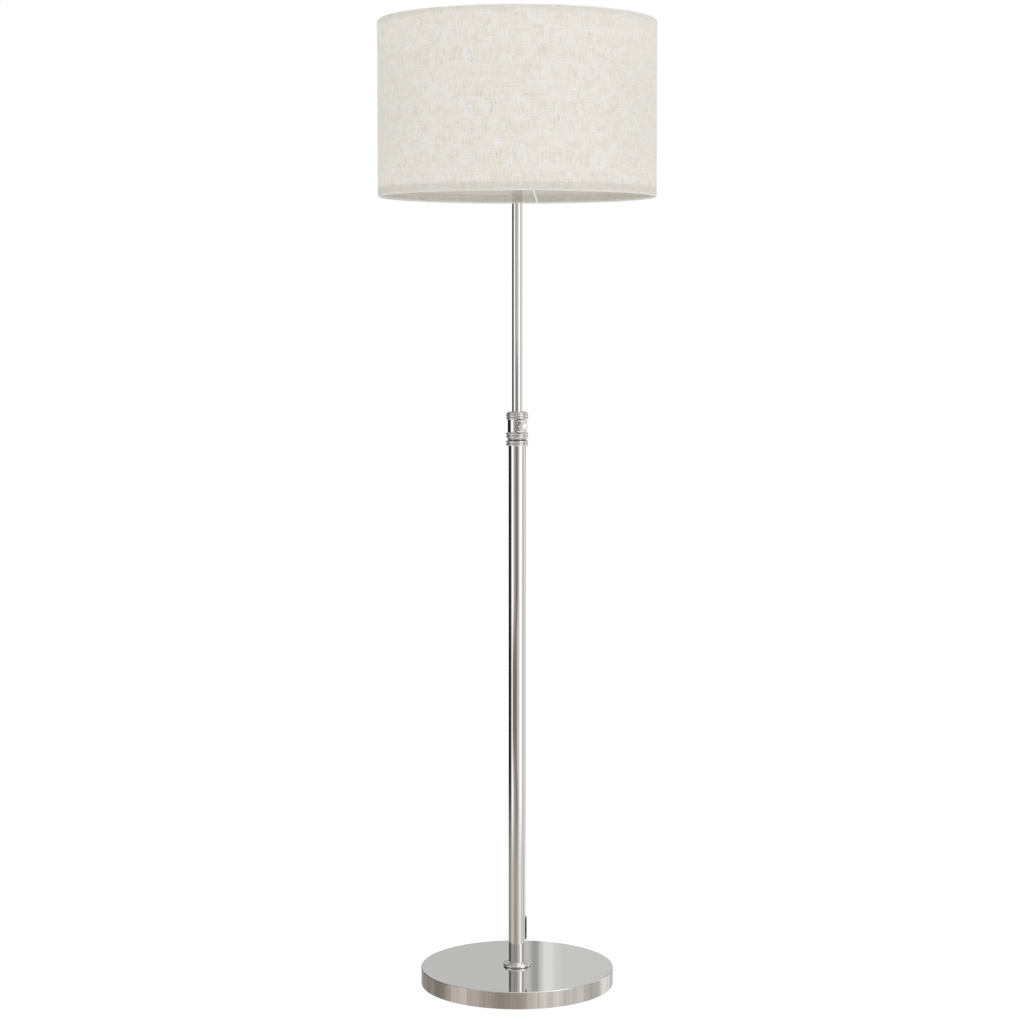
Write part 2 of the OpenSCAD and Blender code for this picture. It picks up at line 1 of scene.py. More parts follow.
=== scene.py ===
import bpy
import numpy as np
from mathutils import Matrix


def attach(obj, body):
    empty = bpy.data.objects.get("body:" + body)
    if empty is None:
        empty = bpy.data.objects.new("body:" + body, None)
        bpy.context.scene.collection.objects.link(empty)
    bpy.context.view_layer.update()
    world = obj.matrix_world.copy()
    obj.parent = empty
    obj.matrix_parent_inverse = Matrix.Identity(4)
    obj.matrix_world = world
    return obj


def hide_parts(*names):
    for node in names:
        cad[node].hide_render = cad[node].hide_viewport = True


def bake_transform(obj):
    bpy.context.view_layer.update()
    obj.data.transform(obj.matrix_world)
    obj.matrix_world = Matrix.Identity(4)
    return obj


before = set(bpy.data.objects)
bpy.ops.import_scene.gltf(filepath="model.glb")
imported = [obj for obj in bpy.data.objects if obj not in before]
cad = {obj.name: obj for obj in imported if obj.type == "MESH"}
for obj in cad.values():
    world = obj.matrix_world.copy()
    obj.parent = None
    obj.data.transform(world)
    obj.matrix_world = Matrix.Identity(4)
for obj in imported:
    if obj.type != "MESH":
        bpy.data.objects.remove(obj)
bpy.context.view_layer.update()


# ---- Camera ----------------------------------------------
# A long lens 3.5 metres away, at the height of the upper tube. The thumb screw points about
# 17 degrees to its right. The studio's turns are counted from LAMP_TURN.
LAMP_TURN = np.radians(15.9)

lens = bpy.data.cameras.new("camera")
lens.lens, lens.sensor_width = 83.793, 36
lens.shift_y = -0.02
camera = bpy.data.objects.new("camera", lens)
bpy.context.collection.objects.link(camera)
camera.location = (-1.04914, -3.33913, 0.99867)
camera.rotation_euler = np.radians((90 - 4.2906, 0, -17.3185))
bpy.context.scene.camera = camera
bpy.context.scene.view_settings.view_transform = "Standard"


# ---- Studio ----------------------------------------------
# A white sweep with soft light from all round. Polished metal sees the studio itself: two
# tall soft boxes, a black flag on the left and the warm grey room behind the camera.
class Wire:
    """A shader socket with arithmetic: an expression on wires adds its Math nodes."""

    def __init__(self, finish, socket):
        self.finish, self.socket = finish, socket

    def math(self, operation, *others):
        return self.finish.node("Math", {"operation": operation}, dict(enumerate((self, *others))))

    def part(self, name):
        return Wire(self.finish, self.socket.node.outputs[name])

    def __add__(self, other):
        return self.math("ADD", other)

    def __sub__(self, other):
        return self.math("SUBTRACT", other)

    def __rsub__(self, other):
        return self.math("MULTIPLY_ADD", -1, other)

    def __mul__(self, other):
        return self.math("MULTIPLY", other)

    def __truediv__(self, other):
        return self.math("DIVIDE", other)

    def __pow__(self, other):
        return self.math("POWER", other)

    def __neg__(self):
        return self * -1

    __radd__, __rmul__ = __add__, __mul__

    def over(self, low, high):
        """0 below low, 1 above high and a smooth step between; turned round where low > high."""
        if low > high:
            return 1 - self.over(high, low)
        return self.finish.node("MapRange", {"interpolation_type": "SMOOTHSTEP"},
                                {"Value": self, "From Min": low, "From Max": high})


class Finish:
    """The node tree of a material or of the world."""

    def __init__(self, name, world=False):
        self.holder = (bpy.data.worlds if world else bpy.data.materials).new(name)
        self.holder.use_nodes = True
        self.tree = self.holder.node_tree
        self.tree.nodes.clear()

    def node(self, kind, settings=None, inputs=None, out=0):
        """One node: its settings first, a ramp's stops among them, then its sockets' values or links."""
        made = self.tree.nodes.new("ShaderNode" + kind)
        for key, value in (settings or {}).items():
            if key == "stops":
                while len(made.color_ramp.elements) < len(value):
                    made.color_ramp.elements.new(0)
                for element, (place, colour) in zip(made.color_ramp.elements, value):
                    element.position, element.color = place, (*colour, 1)
            elif key == "blend":
                made.color_ramp.interpolation = value
            else:
                setattr(made, key, value)
        for key, value in (inputs or {}).items():
            socket = made.inputs[key]
            if isinstance(value, Wire):
                self.tree.links.new(value.socket, socket)
            elif socket.type == "RGBA" and len(value) == 3:
                socket.default_value = (*value, 1)
            else:
                socket.default_value = value
        return Wire(self, made.outputs[out]) if made.outputs else None

    def place(self, output="Object"):
        return self.node("TexCoord", out=output)

    def axes(self, place=None):
        """The three parts of a place, which is the object's own where none is given."""
        x = self.node("SeparateXYZ", {}, {0: place or self.place()}, out="X")
        return x, x.part("Y"), x.part("Z")

    def noise(self, scale, detail=2, rough=0.5, warp=0, stretch=None, shift=(0, 0, 0), place=None):
        """Noise from 0 to 1. Where stretch is given, the place is first stretched and shifted."""
        spot = place or self.place()
        if stretch:
            spot = self.node("Mapping", {}, {"Vector": spot, "Location": shift, "Scale": stretch})
        return self.node("TexNoise", {}, {"Vector": spot, "Scale": scale, "Detail": detail,
                                          "Roughness": rough, "Distortion": warp})

    def mix(self, share, first, second, kind="MIX"):
        """Colour first, going over to second by share."""
        return self.node("Mix", {"data_type": "RGBA", "blend_type": kind},
                         {0: share, 6: first, 7: second}, out=2)

    def bump(self, height, strength, distance):
        return self.node("Bump", {}, {"Strength": strength, "Distance": distance, "Height": height},
                         out="Normal")

    def skin(self, sockets, through=None, share=0.0):
        """Principled surface with those sockets; a share of it lets light through, in the colour through."""
        surface = self.node("BsdfPrincipled", {}, sockets)
        if through:
            lit = self.node("BsdfTranslucent", {}, {"Color": through})
            surface = self.node("MixShader", {}, {0: share, 1: surface, 2: lit})
        self.node("OutputMaterial", {}, {"Surface": surface})
        return self


def grey(level, red=0.0, blue=0.0):
    """A linear grey, with its red and its blue raised or lowered by a share."""
    return (level * (1 + red), level, level * (1 + blue))


def round_ramp(studio, turn, stops):
    """Light by compass turn from the camera, in degrees, positive to the right."""
    marks = [(at / 360 + 0.5, grey(*light)) for at, *light in stops]
    return studio.node("ValToRGB", {"stops": marks, "blend": "EASE"}, {"Fac": turn / 360 + 0.5})


def window(turn, rise, turns, rises, soft, blur):
    """1 inside a window of turns and rises, going over to 0 at its soft edges."""
    return (turn.over(turns[0] - soft, turns[0] + soft) * turn.over(turns[1] + soft, turns[1] - soft)
            * rise.over(rises[0] - blur, rises[0] + blur) * rise.over(rises[1] + blur, rises[1] - blur))


FLAG, BOX = 0.02, 1.35
# The room by turn at eye level and at the floor: box lights, black flag, grey corners
ROOM = [(-180, 0.30), (-166, 0.14), (-152, 0.04), (-145, FLAG), (-92, FLAG), (-87, 0.40), (-79, 0.88),
        (-71, BOX), (-60, BOX), (-52, 0.90), (-44, 0.60), (-36, 0.43), (-22, 0.30, 0.05, -0.1),
        (-12, 0.17, 0.33, -0.1), (0, 0.19, 0.35, -0.06), (8, 0.30, 0.30, -0.06), (16, 0.50, 0.1, -0.05),
        (24, 0.85), (32, 1.1), (42, BOX), (60, BOX), (68, 0.75), (78, 0.60), (92, 0.57), (101, 0.80),
        (110, 1.05), (118, 0.95), (128, 0.62), (142, 0.42), (160, 0.48), (180, 0.50)]
FLOOR = [(-180, 0.50), (-146, 0.32, 0.05, -0.08), (-124, 0.32, 0.05, -0.08),
         (-108, 0.27, 0.06, -0.08), (-96, 0.35, 0.06, -0.08), (-84, 0.57, 0.06, -0.08),
         (-70, 0.68, 0.06, -0.07), (-58, 0.57, 0.06, -0.07), (-46, 0.50, 0.07, -0.08),
         (-32, 0.36, 0.07, -0.09), (-18, 0.35, 0.07, -0.08), (-6, 0.42, 0.07, -0.08),
         (8, 0.48, 0.06, -0.07), (20, 0.72, 0.03, -0.04), (34, 0.95, 0.02, -0.03),
         (46, 0.97, 0.01, -0.02), (58, 0.66, 0.01, -0.02), (66, 0.68, 0.01, -0.02),
         (84, 0.75, 0.01, -0.02), (98, 0.56), (114, 0.58), (126, 1.05), (134, 1.0), (146, 0.7),
         (180, 0.50)]
# Smaller things in the room: turns, rises, light, softness sideways and upwards
PANELS = [((-64, -5), (-10.8, -7.6), (0.19, 0.27, -0.14), 5, 1.0),
          ((-4, 24), (-11.2, -7.2), (0.64, 0.06, -0.02), 3, 0.6),
          ((-30, 4), (-1.0, 12), (0.48, 0.03, -0.03), 5, 0.6), ((4, 22), (-1.0, 12), (0.74,), 5, 0.6),
          ((-96, -46), (9, 60), (0.42, 0.04, -0.04), 4, 2), ((-50, 2), (10, 60), (0.36, 0.05, -0.03), 6, 2),
          ((2, 34), (10, 60), (0.62, 0.03, -0.02), 8, 2), ((70, 108), (9, 60), (0.44,), 5, 2),
          ((-135, -92), (8, 70), (FLAG,), 4, 4), ((22, 58), (-19, -15.6), (0.72, 0.03, -0.03), 8, 0.5),
          ((-74, -28), (46, 66), (1.2,), 6, 4), ((-190, -86), (17, 46), (0.45,), 6, 4),
          ((138, 190), (17, 46), (0.5,), 6, 4)]

studio = Finish("studio", world=True)
ray = studio.place("Generated")
ahead = (float(np.sin(LAMP_TURN)), float(np.cos(LAMP_TURN)), 0)
right = (ahead[1], -ahead[0], 0)
forward = studio.node("VectorMath", {"operation": "DOT_PRODUCT"}, {0: ray, 1: ahead}, out="Value")
across = studio.node("VectorMath", {"operation": "DOT_PRODUCT"}, {0: ray, 1: right}, out="Value")
turn = across.math("ARCTAN2", -forward) * (180 / np.pi)
rise = studio.axes(ray)[2].math("ARCSINE") * (180 / np.pi)
seen = studio.mix(rise.over(-11.0, -13.5), round_ramp(studio, turn, ROOM), round_ramp(studio, turn, FLOOR))
for turns, rises, light, soft, blur in PANELS:
    seen = studio.mix(window(turn, rise, turns, rises, soft, blur), seen, grey(*light))
# The foot's top mirrors the back wall, where a darker upright strip stands between two pale fields
WALL_FROM, WALL_WIDE = 0.02, 0.04
along_wall = (across / forward.math("MAXIMUM", 0.05) - WALL_FROM) / WALL_WIDE
wall = studio.node("ValToRGB", {"blend": "EASE", "stops": [
    (0.0, grey(0.59)), (0.27, grey(0.61)), (0.31, grey(0.53)), (0.35, grey(0.365)), (0.385, grey(0.38)),
    (0.42, grey(0.61)), (0.47, grey(0.82)), (0.525, grey(0.83)), (0.59, grey(0.71)), (0.68, grey(0.66)),
    (1.0, grey(0.65))]}, {"Fac": along_wall})
seen = studio.mix(rise.over(8, 11) * rise.over(27, 24) * forward.over(0.80, 0.86), seen, wall)
from_left, from_back = across * 0.5 + 0.5, forward * -0.5 + 0.5
ceiling = studio.mix(from_left.over(0.3, 0.65), grey(0.45), grey(1.25))
seen = studio.mix(rise.over(40, 65), seen, ceiling)
seen = studio.mix(rise.over(-30, -60), seen, grey(0.84, 0.02, -0.02))
front_light = studio.mix(from_back.over(0.1, 0.9), grey(0.94), grey(1.24))
glow = studio.mix(from_left.over(0.0, 0.8), grey(0.85), grey(1.04))
glow = studio.mix(1.0, front_light, glow, "MULTIPLY")
path = studio.node("LightPath", {}, {}, out="Is Camera Ray")
light = studio.mix(path.part("Is Glossy Ray"), glow, seen)
light = studio.mix(path, light, grey(1.0))
background = studio.node("Background", {}, {"Color": light, "Strength": 1.0})
studio.node("OutputWorld", {}, {"Surface": background})
bpy.context.scene.world = studio.holder

paper = Finish("sweep_paper")
path = paper.node("LightPath", {}, {}, out="Is Camera Ray")
fibre = paper.noise(900, 3)
lit = paper.node("BsdfDiffuse", {}, {"Color": paper.mix(fibre, grey(0.30), grey(0.32))})
plain = paper.node("BsdfDiffuse", {}, {"Color": grey(0.86)})
white = paper.node("Emission", {}, {"Color": grey(1.0), "Strength": 0.80})
shown = paper.node("AddShader", {}, {0: lit, 1: white})
open_air = paper.node("BsdfTransparent", {}, {})
looked_at = paper.node("MixShader", {}, {0: path, 1: plain, 2: shown})
surface = paper.node("MixShader", {}, {0: path.part("Is Glossy Ray"), 1: looked_at, 2: open_air})
paper.node("OutputMaterial", {}, {"Surface": surface})

sweep_mesh = bpy.data.meshes.new("sweep")
SWEEP_HALF = 12.0
corners = [(SWEEP_HALF * x, SWEEP_HALF * y, 0) for x, y in ((-1, -1), (1, -1), (1, 1), (-1, 1))]
sweep_mesh.from_pydata(corners, [], [(0, 1, 2, 3)])
sweep_mesh.materials.append(paper.holder)
sweep = bpy.data.objects.new("sweep", sweep_mesh)
bpy.context.collection.objects.link(sweep)


# ---- Foot ------------------------------------------------
# A plated cover of spun sheet over a cast iron disc, on a foam pad. The cover's top is
# polished to a mirror, and its side is brushed upright.
MM = 0.001


def rounded(corners, steps=6, shoulder=0.12):
    """Outline with eased corners, each given as (radius, height, ease). An eased corner becomes the arc of
    that radius that touches both sides, with a point a shoulder away on each side to keep the sides flat."""
    given = np.array([(*corner, 0.0)[:3] for corner in corners], float)
    point, ease = given[:, :2], given[:, 2:]
    back, on = np.roll(point, 1, 0) - point, np.roll(point, -1, 0) - point
    back /= np.linalg.norm(back, axis=1, keepdims=True)
    on /= np.linalg.norm(on, axis=1, keepdims=True)
    half_angle = np.arccos(np.clip((back * on).sum(1, keepdims=True), -1, 1)) / 2
    reach = ease / np.tan(half_angle)
    middle = point + (back + on) / (2 * np.cos(half_angle)) * ease / np.sin(half_angle)
    start, stop = back * reach, on * reach
    share = np.linspace(0, 1, steps + 1)[None, :, None]
    span = (np.pi - 2 * half_angle)[:, None]
    arc = (np.sin((1 - share) * span) * (point + start - middle)[:, None]
           + np.sin(share * span) * (point + stop - middle)[:, None]) / np.sin(span)
    arc += middle[:, None]
    side = np.where(ease > 0, shoulder, 0)
    before, after = point + start + back * side, point + stop + on * side
    return np.concatenate([before[:, None], arc, after[:, None]], axis=1).reshape(-1, 2)


def mesh_of(name, points, faces, finish, smooth=35):
    """Mesh of quads on a grid of points in millimetres. Points that meet are made one, a quad that has
    lost a side becomes a triangle, and one that has lost two goes."""
    keys = np.round(points.reshape(-1, 3) * 1e4).astype(np.int64)
    _, first, index = np.unique(keys, axis=0, return_index=True, return_inverse=True)
    faces = index.reshape(-1)[faces]
    same = faces == np.roll(faces, -1, axis=1)
    whole, short = faces[same.sum(1) == 0], faces[same.sum(1) == 1]
    kept = ~same[same.sum(1) == 1]
    mesh = bpy.data.meshes.new(name)
    triangles = short[kept].reshape(-1, 3)
    mesh.from_pydata(points.reshape(-1, 3)[first] * MM, [], whole.tolist() + triangles.tolist())
    mesh.shade_smooth()
    mesh.set_sharp_from_angle(angle=np.radians(smooth))
    mesh.materials.append(finish.holder)
    piece = bpy.data.objects.new(name, mesh)
    bpy.context.collection.objects.link(piece)
    return piece


def grid_faces(rows, columns, close_rows=True):
    """The quads of a grid of points, row by row. Each row closes on itself, and the last row on the first
    where close_rows says so."""
    i, j = np.meshgrid(np.arange(rows - (not close_rows)), np.arange(columns), indexing="ij")
    i, k = i * columns, (i + 1) % rows * columns
    m = (j + 1) % columns
    return np.stack([i + j, i + m, k + m, k + j], axis=-1).reshape(-1, 4)


def turned(name, outline, finish, count=160, relief=None, level=None, smooth=35):
    """Turned surface: a closed outline of (radius, height) points goes round an axis, and at angle a it lies
    at radius times (cos a, sin a). relief adds to the radius by (radius, height, angle). The axis is the
    pole's, or with level the line at that height that points along -Y."""
    outline = np.asarray(outline, float)
    x, y = outline.T
    if (x * np.roll(y, -1) - np.roll(x, -1) * y).sum() < 0:
        outline = outline[::-1]
    r, h = outline[:, :1], outline[:, 1:]
    a = np.linspace(0, 2 * np.pi, count, endpoint=False)[None, :]
    r = r + (relief(r, h, a) if relief else 0 * a)
    points = np.stack([r * np.cos(a), r * np.sin(a), h + 0 * a], axis=-1)
    if level is not None:
        points = np.stack([points[..., 0], -points[..., 2], points[..., 1] + level], axis=-1)
    return mesh_of(name, points, grid_faces(*points.shape[:2]), finish, smooth)


def fit(piece, body, slot, *stands_for):
    """Fixes a piece on its body and hides the solids that it stands for. The slot is not used."""
    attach(piece, body)
    if stands_for:
        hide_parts(*stands_for)
    return piece


def dress(finish, *names):
    """Gives solids that stay as they are their finish."""
    for name in names:
        for holder in cad[name].material_slots:
            holder.material = finish.holder


PLATE = (0.80, 0.79, 0.77)


def times(colour, share):
    """A colour's light times a share, up to white."""
    return tuple(min(1, c * share) for c in colour)


def polished(name, lines=(40, 40, 40)):
    """Polished plating: faint polishing lines, a breath of haze, and a colour that hardly varies."""
    metal = Finish(name)
    mark = metal.noise(40, 3, 0.6, stretch=lines)
    cloud = metal.noise(14, 2, 0.5, 0.4)
    return metal.skin({"Base Color": metal.mix(cloud, times(PLATE, 0.975), times(PLATE, 1.02)),
                       "Metallic": 1.0, "Roughness": 0.02 + mark * 0.012 + cloud.over(0.45, 0.75) * 0.018,
                       "Normal": metal.bump(mark, 0.012, 0.0004)})


def foot_plating():
    """The foot's plating, by height: a mirror on top and upright brushing on the side."""
    metal = Finish("foot_plating")
    side = metal.axes()[2].over(0.0252, 0.0246)
    fine = metal.noise(480, 4, 0.7, stretch=(1, 1, 0))
    broad = metal.noise(85, 3, 0.65, stretch=(1, 1, 0))
    cloud = metal.noise(9, 2, 0.5, 0.5)
    mirror = metal.mix(cloud, (0.79, 0.785, 0.775), (0.81, 0.805, 0.795))
    brushed = metal.mix(broad.over(0.36, 0.64), (0.66, 0.615, 0.575), (0.86, 0.83, 0.80))
    brushed = metal.mix(fine.over(0.42, 0.62) * 0.45, brushed, (0.52, 0.48, 0.45))
    return metal.skin({"Base Color": metal.mix(side, mirror, brushed), "Metallic": 1.0,
                       "Roughness": 0.016 + cloud * 0.01 + side * (0.06 + fine * 0.06),
                       "Normal": metal.bump(fine * side, 0.35, 0.0006)})


def foam(name, colour):
    """Closed-cell foam: small pits and a dusty tone."""
    pad = Finish(name)
    cell = pad.node("TexVoronoi", {}, {"Vector": pad.place(), "Scale": 700}, out="Distance")
    dust = pad.noise(30, 4)
    return pad.skin({"Base Color": pad.mix(dust, colour, times(colour, 2.2)),
                     "Roughness": 0.86 + dust * 0.1, "Normal": pad.bump(cell, 0.6, 0.0003)})


def cast(name, colour):
    """Raw cast iron: a grainy skin with darker hollows and a trace of rust."""
    iron = Finish(name)
    grain, patch = iron.noise(700, 5, 0.7), iron.noise(40, 3)
    tone = iron.mix(patch.over(0.55, 0.8), times(colour, 0.8), (0.17, 0.11, 0.075))
    return iron.skin({"Base Color": iron.mix(grain, tone, colour), "Metallic": 0.7,
                      "Roughness": 0.55 + grain * 0.3, "Normal": iron.bump(grain, 0.7, 0.0005)})


FOOT_R, FOOT_TOP, SHEET, BOLT_HOLE = 143.0, 26.0, 1.4, 5.4
foot_outline = rounded([(BOLT_HOLE, FOOT_TOP - SHEET), (FOOT_R - SHEET, FOOT_TOP - SHEET, 0.8),
                        (FOOT_R - SHEET, 1.0, 0.4), (FOOT_R, 1.0, 0.5), (FOOT_R, FOOT_TOP, 1.2),
                        (BOLT_HOLE, FOOT_TOP, 0.3)], steps=8)
fit(turned("foot_plate", foot_outline, foot_plating(), 320), "stand", "polished_plate", "base_cover")
pad_outline = rounded([(0, 0), (138.3, 0, 0.7), (138.3, 2.0, 0.5), (0, 2.0)])
fit(turned("foot_pad", pad_outline, foam("pad_foam", (0.020, 0.020, 0.021)), 200), "stand", "foam_pad",
    "base_pad")
dress(cast("foot_iron", (0.16, 0.16, 0.165)), "base_weight")


# ---- Foot's fixing ---------------------------------------
# A steel plug pressed in the tube's lower end, pulled down on the foot by a bolt from below
# with a thick washer. All of it is zinc plated.
def zinc(name, colour, shine=0.32):
    """Zinc-plated steel: cloudy spangle and turning lines."""
    steel = Finish(name)
    spangle = steel.node("TexVoronoi", {}, {"Vector": steel.place(), "Scale": 260}, out="Color")
    line = steel.noise(60, 3, stretch=(3, 3, 60))
    tone = steel.mix(0.08, colour, spangle, "OVERLAY")
    return steel.skin({"Base Color": steel.mix(line * 0.3, tone, times(colour, 0.8)), "Metallic": 1.0,
                       "Roughness": shine + line * 0.15, "Normal": steel.bump(line, 0.15, 0.0004)})


dress(zinc("zinc_steel", (0.55, 0.55, 0.55)), "foot_plug", "foot_bolt", "foot_washer")


# ---- Foot collar -----------------------------------------
# A low domed ring of plated brass that covers the joint between tube and foot.
mirror_plating = polished("mirror_plating")


def collar_plating():
    """The collar's plating: polished, with a painted contact shadow, a dark line where it meets the foot."""
    metal = Finish("collar_plating")
    mark = metal.noise(40, 3, 0.6, stretch=(40, 40, 40))
    # Painted contact shadow: near black at the collar's lowest edge, where it sits on the foot
    contact_shade = metal.axes()[2].over(0.0269, 0.0265) * (0.85 + mark * 0.1)
    return metal.skin({"Base Color": metal.mix(contact_shade, PLATE, (0.03, 0.027, 0.025)), "Metallic": 1.0,
                       "Roughness": 0.02 + mark * 0.012 + contact_shade * 0.3,
                       "Normal": metal.bump(mark, 0.012, 0.0004)})


angle = np.radians(np.linspace(-12, 76, 19))
rim = np.stack([17.9 + 2.7 * np.cos(angle), 28.0 + 2.7 * np.sin(angle)], 1)
dome = np.linspace(0, 1, 8)[1:, None]
collar_outline = np.concatenate([
    [[12.75, 26.0], [20.0, 26.0], [20.25, 26.1], [20.4, 26.4]], rim,
    (1 - dome) * rim[-1] + dome * (13.9, 32.6) + np.sin(np.pi * dome) * (0.05, 0.15),
    [[13.4, 32.9], [13.0, 33.15], [12.75, 33.2]]])
fit(turned("foot_ring", collar_outline, collar_plating()), "stand", "polished_plate", "foot_collar")


# ---- Lower tube ------------------------------------------
# One-inch steel tube, polished and plated. A slot with round ends low on its right side
# holds the gland.
GLAND_Z, SLOT_H, SLOT_W = 82.4, 31.1, 9.1


def slot_edge(z, height, width):
    """Half the width, at height z, of an upright slot with round ends round GLAND_Z."""
    straight = (height - width) / 2
    past = np.clip(np.abs(z - GLAND_Z) - straight, 0, width / 2)
    return np.sqrt((width / 2) ** 2 - past ** 2)


def slotted_tube(name, outer, inner, low, high, finish, count=192):
    """Tube whose seam opens into the slot. At height z the wall's section runs round outside from slot edge
    to slot edge and back inside; the section's two ends are walls only where the slot is open."""
    ends = GLAND_Z + SLOT_H / 2 * np.array([-1, 1])
    bend = SLOT_W / 2 * (1 - np.cos(np.linspace(0, np.pi / 2, 12)))
    z = np.concatenate([[low, low + 0.3, low + 0.5], ends[0] + bend, ends[1] - bend[::-1],
                        [high - 0.5, high - 0.3, high]])
    ease = np.zeros_like(z)
    ease[[0, -1]] = 0.3
    gap = np.arcsin(slot_edge(z, SLOT_H, SLOT_W) / outer)[:, None]
    share = np.linspace(0, 1, count + 1)[None, :]
    round_out = gap + (2 * np.pi - 2 * gap) * share
    gap_in = np.arcsin(slot_edge(z, SLOT_H, SLOT_W) / inner)[:, None]
    round_in = (gap_in + (2 * np.pi - 2 * gap_in) * share)[:, ::-1]
    angle = np.concatenate([round_out, round_in], axis=1)
    radius = np.repeat([outer, inner], count + 1)[None, :] + 0 * z[:, None]
    radius[:, :count + 1] -= ease[:, None]
    points = np.stack([radius * np.cos(angle), radius * np.sin(angle), z[:, None] + 0 * angle], axis=-1)
    rows, columns = points.shape[:2]
    faces = grid_faces(rows, columns, close_rows=False).reshape(rows - 1, columns, 4)
    shut = (gap[:-1, 0] < 1e-6) & (gap[1:, 0] < 1e-6)
    keep = np.ones((rows - 1, columns), bool)
    keep[np.ix_(shut, [count, columns - 1])] = False
    n = np.arange(count)
    bottom = np.stack([n, 2 * count + 1 - n, 2 * count - n, n + 1], axis=1)
    top = (rows - 1) * columns + np.stack([n, n + 1, 2 * count - n, 2 * count + 1 - n], axis=1)
    return mesh_of(name, points, np.concatenate([faces[keep], bottom, top]), finish)


tube_plating = polished("tube_plating", lines=(160, 160, 2))
fit(slotted_tube("lower_pole", 12.7, 11.2, 26, 812.4, tube_plating), "stand", "polished_tube", "lower_tube")


# ---- Cord gland ------------------------------------------
# A moulded rubber grommet: an oblong flange that hugs the tube, a neck through the slot and
# a round hole with a low lip for the mains lead.
def moulded(name, colour, rough, grain, tone=0.12, gloss=0.5):
    """Moulded plastic or rubber: a fine mould grain, faint flow marks and a colour that drifts a little."""
    resin = Finish(name)
    pore, flow = resin.noise(grain, 3, 0.6), resin.noise(26, 2, 0.5, 0.8)
    return resin.skin({"Base Color": resin.mix(flow, times(colour, 1 - tone), times(colour, 1 + tone)),
                       "Roughness": rough + pore * 0.12 + flow * 0.06, "Specular IOR Level": gloss,
                       "Normal": resin.bump(pore, 0.18, 0.0002)})


def gland(name, finish, count=128):
    """Oblong plug on the tube: rings of a slot-shaped outline, half width w by half straight s, go from the
    neck out over the flange and into the hole; each point is laid on the cylinder of its ring's radius."""
    neck_w, flange_w, hole, straight = 4.45, 7.0, 3.2, 11.0
    rings = [(neck_w, straight, 9.85), (neck_w, straight, 12.76), (flange_w - 0.3, straight, 12.76),
             (flange_w, straight, 13.0), (flange_w, straight, 13.4), (flange_w - 0.25, straight, 14.05),
             (flange_w - 0.8, straight, 14.3), (flange_w - 1.6, straight, 14.35), (hole + 1.6, 0.9, 14.35),
             (hole + 1.1, 0.3, 14.5), (hole + 0.4, 0, 14.5), (hole, 0, 14.3), (hole, 0, 9.85)]
    w, s, radius = (np.array(c, float)[:, None] for c in zip(*rings))
    b = np.linspace(0, 2 * np.pi, count, endpoint=False)[None, :]
    y = w * np.cos(b)
    z = w * np.sin(b) + s * np.sign(np.round(np.sin(b), 9))
    x = np.sqrt(np.maximum(radius ** 2 - y ** 2, 0))
    points = np.stack([x, y, z + GLAND_Z], axis=-1)
    return mesh_of(name, points, grid_faces(*points.shape[:2]), finish, 50)


soft_black = moulded("soft_black_rubber", (0.010, 0.010, 0.011), 0.55, 1100, gloss=0.16)
fit(gland("lead_grommet", soft_black), "stand", "black_rubber", "cord_gland")


# ---- Tube collar and clamp head --------------------------
# Turned brass, plated and polished. Two beads ring the tube's end; the head above has a cone,
# two beads, a plain middle with an oblong boss for the screw, and three beads at the top.
BEAD_MID, BEAD_R, CORE, SCREW_Z = 14.25, 2.0, 14.75, 832.8


def beaded_plating(name):
    """Polished plating with painted shade, rougher too, in the grooves between beads and in the joint below
    the cone, and a painted shadow round the boss's ends."""
    metal = Finish(name)
    x, y, z = metal.axes()
    radius = (x * x + y * y) ** 0.5
    mark = metal.noise(40, 3, 0.6, stretch=(40, 40, 160))
    mottle = metal.noise(300, 3, 0.6)
    # Painted shade in the bead grooves and the cone's joint and a painted shadow round the boss, mottled by
    # noise
    beaded = z.over(0.80385, 0.8044) - z.over(0.8236, 0.8238) + z.over(0.8424, 0.8426)
    groove_shade = radius.over(0.01535, 0.0146) * beaded
    cone_joint_shade = radius.over(0.0144, 0.0138) * z.over(0.8112, 0.8114) * z.over(0.8125, 0.8123)
    away = (z - SCREW_Z * MM).math("ABSOLUTE")
    boss_shadow = (x.math("ABSOLUTE").over(0.0066, 0.0050) * y.over(-0.0128, -0.0132)
               * away.over(0.0087, 0.0091) * away.over(0.0102, 0.0098))
    painted_shade_mottled = (groove_shade * 0.2).math("MAXIMUM", cone_joint_shade * 0.94).math("MAXIMUM", boss_shadow * 0.85) * (0.85 + mottle * 0.3)
    return metal.skin({"Base Color": metal.mix(painted_shade_mottled, PLATE, (0.035, 0.03, 0.028)), "Metallic": 1.0,
                       "Roughness": 0.02 + mark * 0.012 + painted_shade_mottled * 0.3,
                       "Normal": metal.bump(mark, 0.012, 0.0004)})


head_plating = beaded_plating("beaded_plating")


def bead(height, mid=BEAD_MID, size=BEAD_R, low=-77, high=77, steps=18):
    """The outer half of a round bead's section, from its lower to its upper root."""
    a = np.radians(np.linspace(low, high, steps))
    return np.stack([mid + size * np.cos(a), height + size * np.sin(a)], axis=1)


ring_outline = np.concatenate([
    [[12.75, 803.8], [14.3, 803.8], [14.5, 803.9]], bead(805.4, low=-50), bead(809.6, high=72),
    [[14.5, 811.3], [13.6, 811.3], [13.5, 811.4], [13.5, 812.38], [12.75, 812.4]]])
fit(turned("tube_end_ring", ring_outline, head_plating), "stand", "polished_plate", "tube_collar")

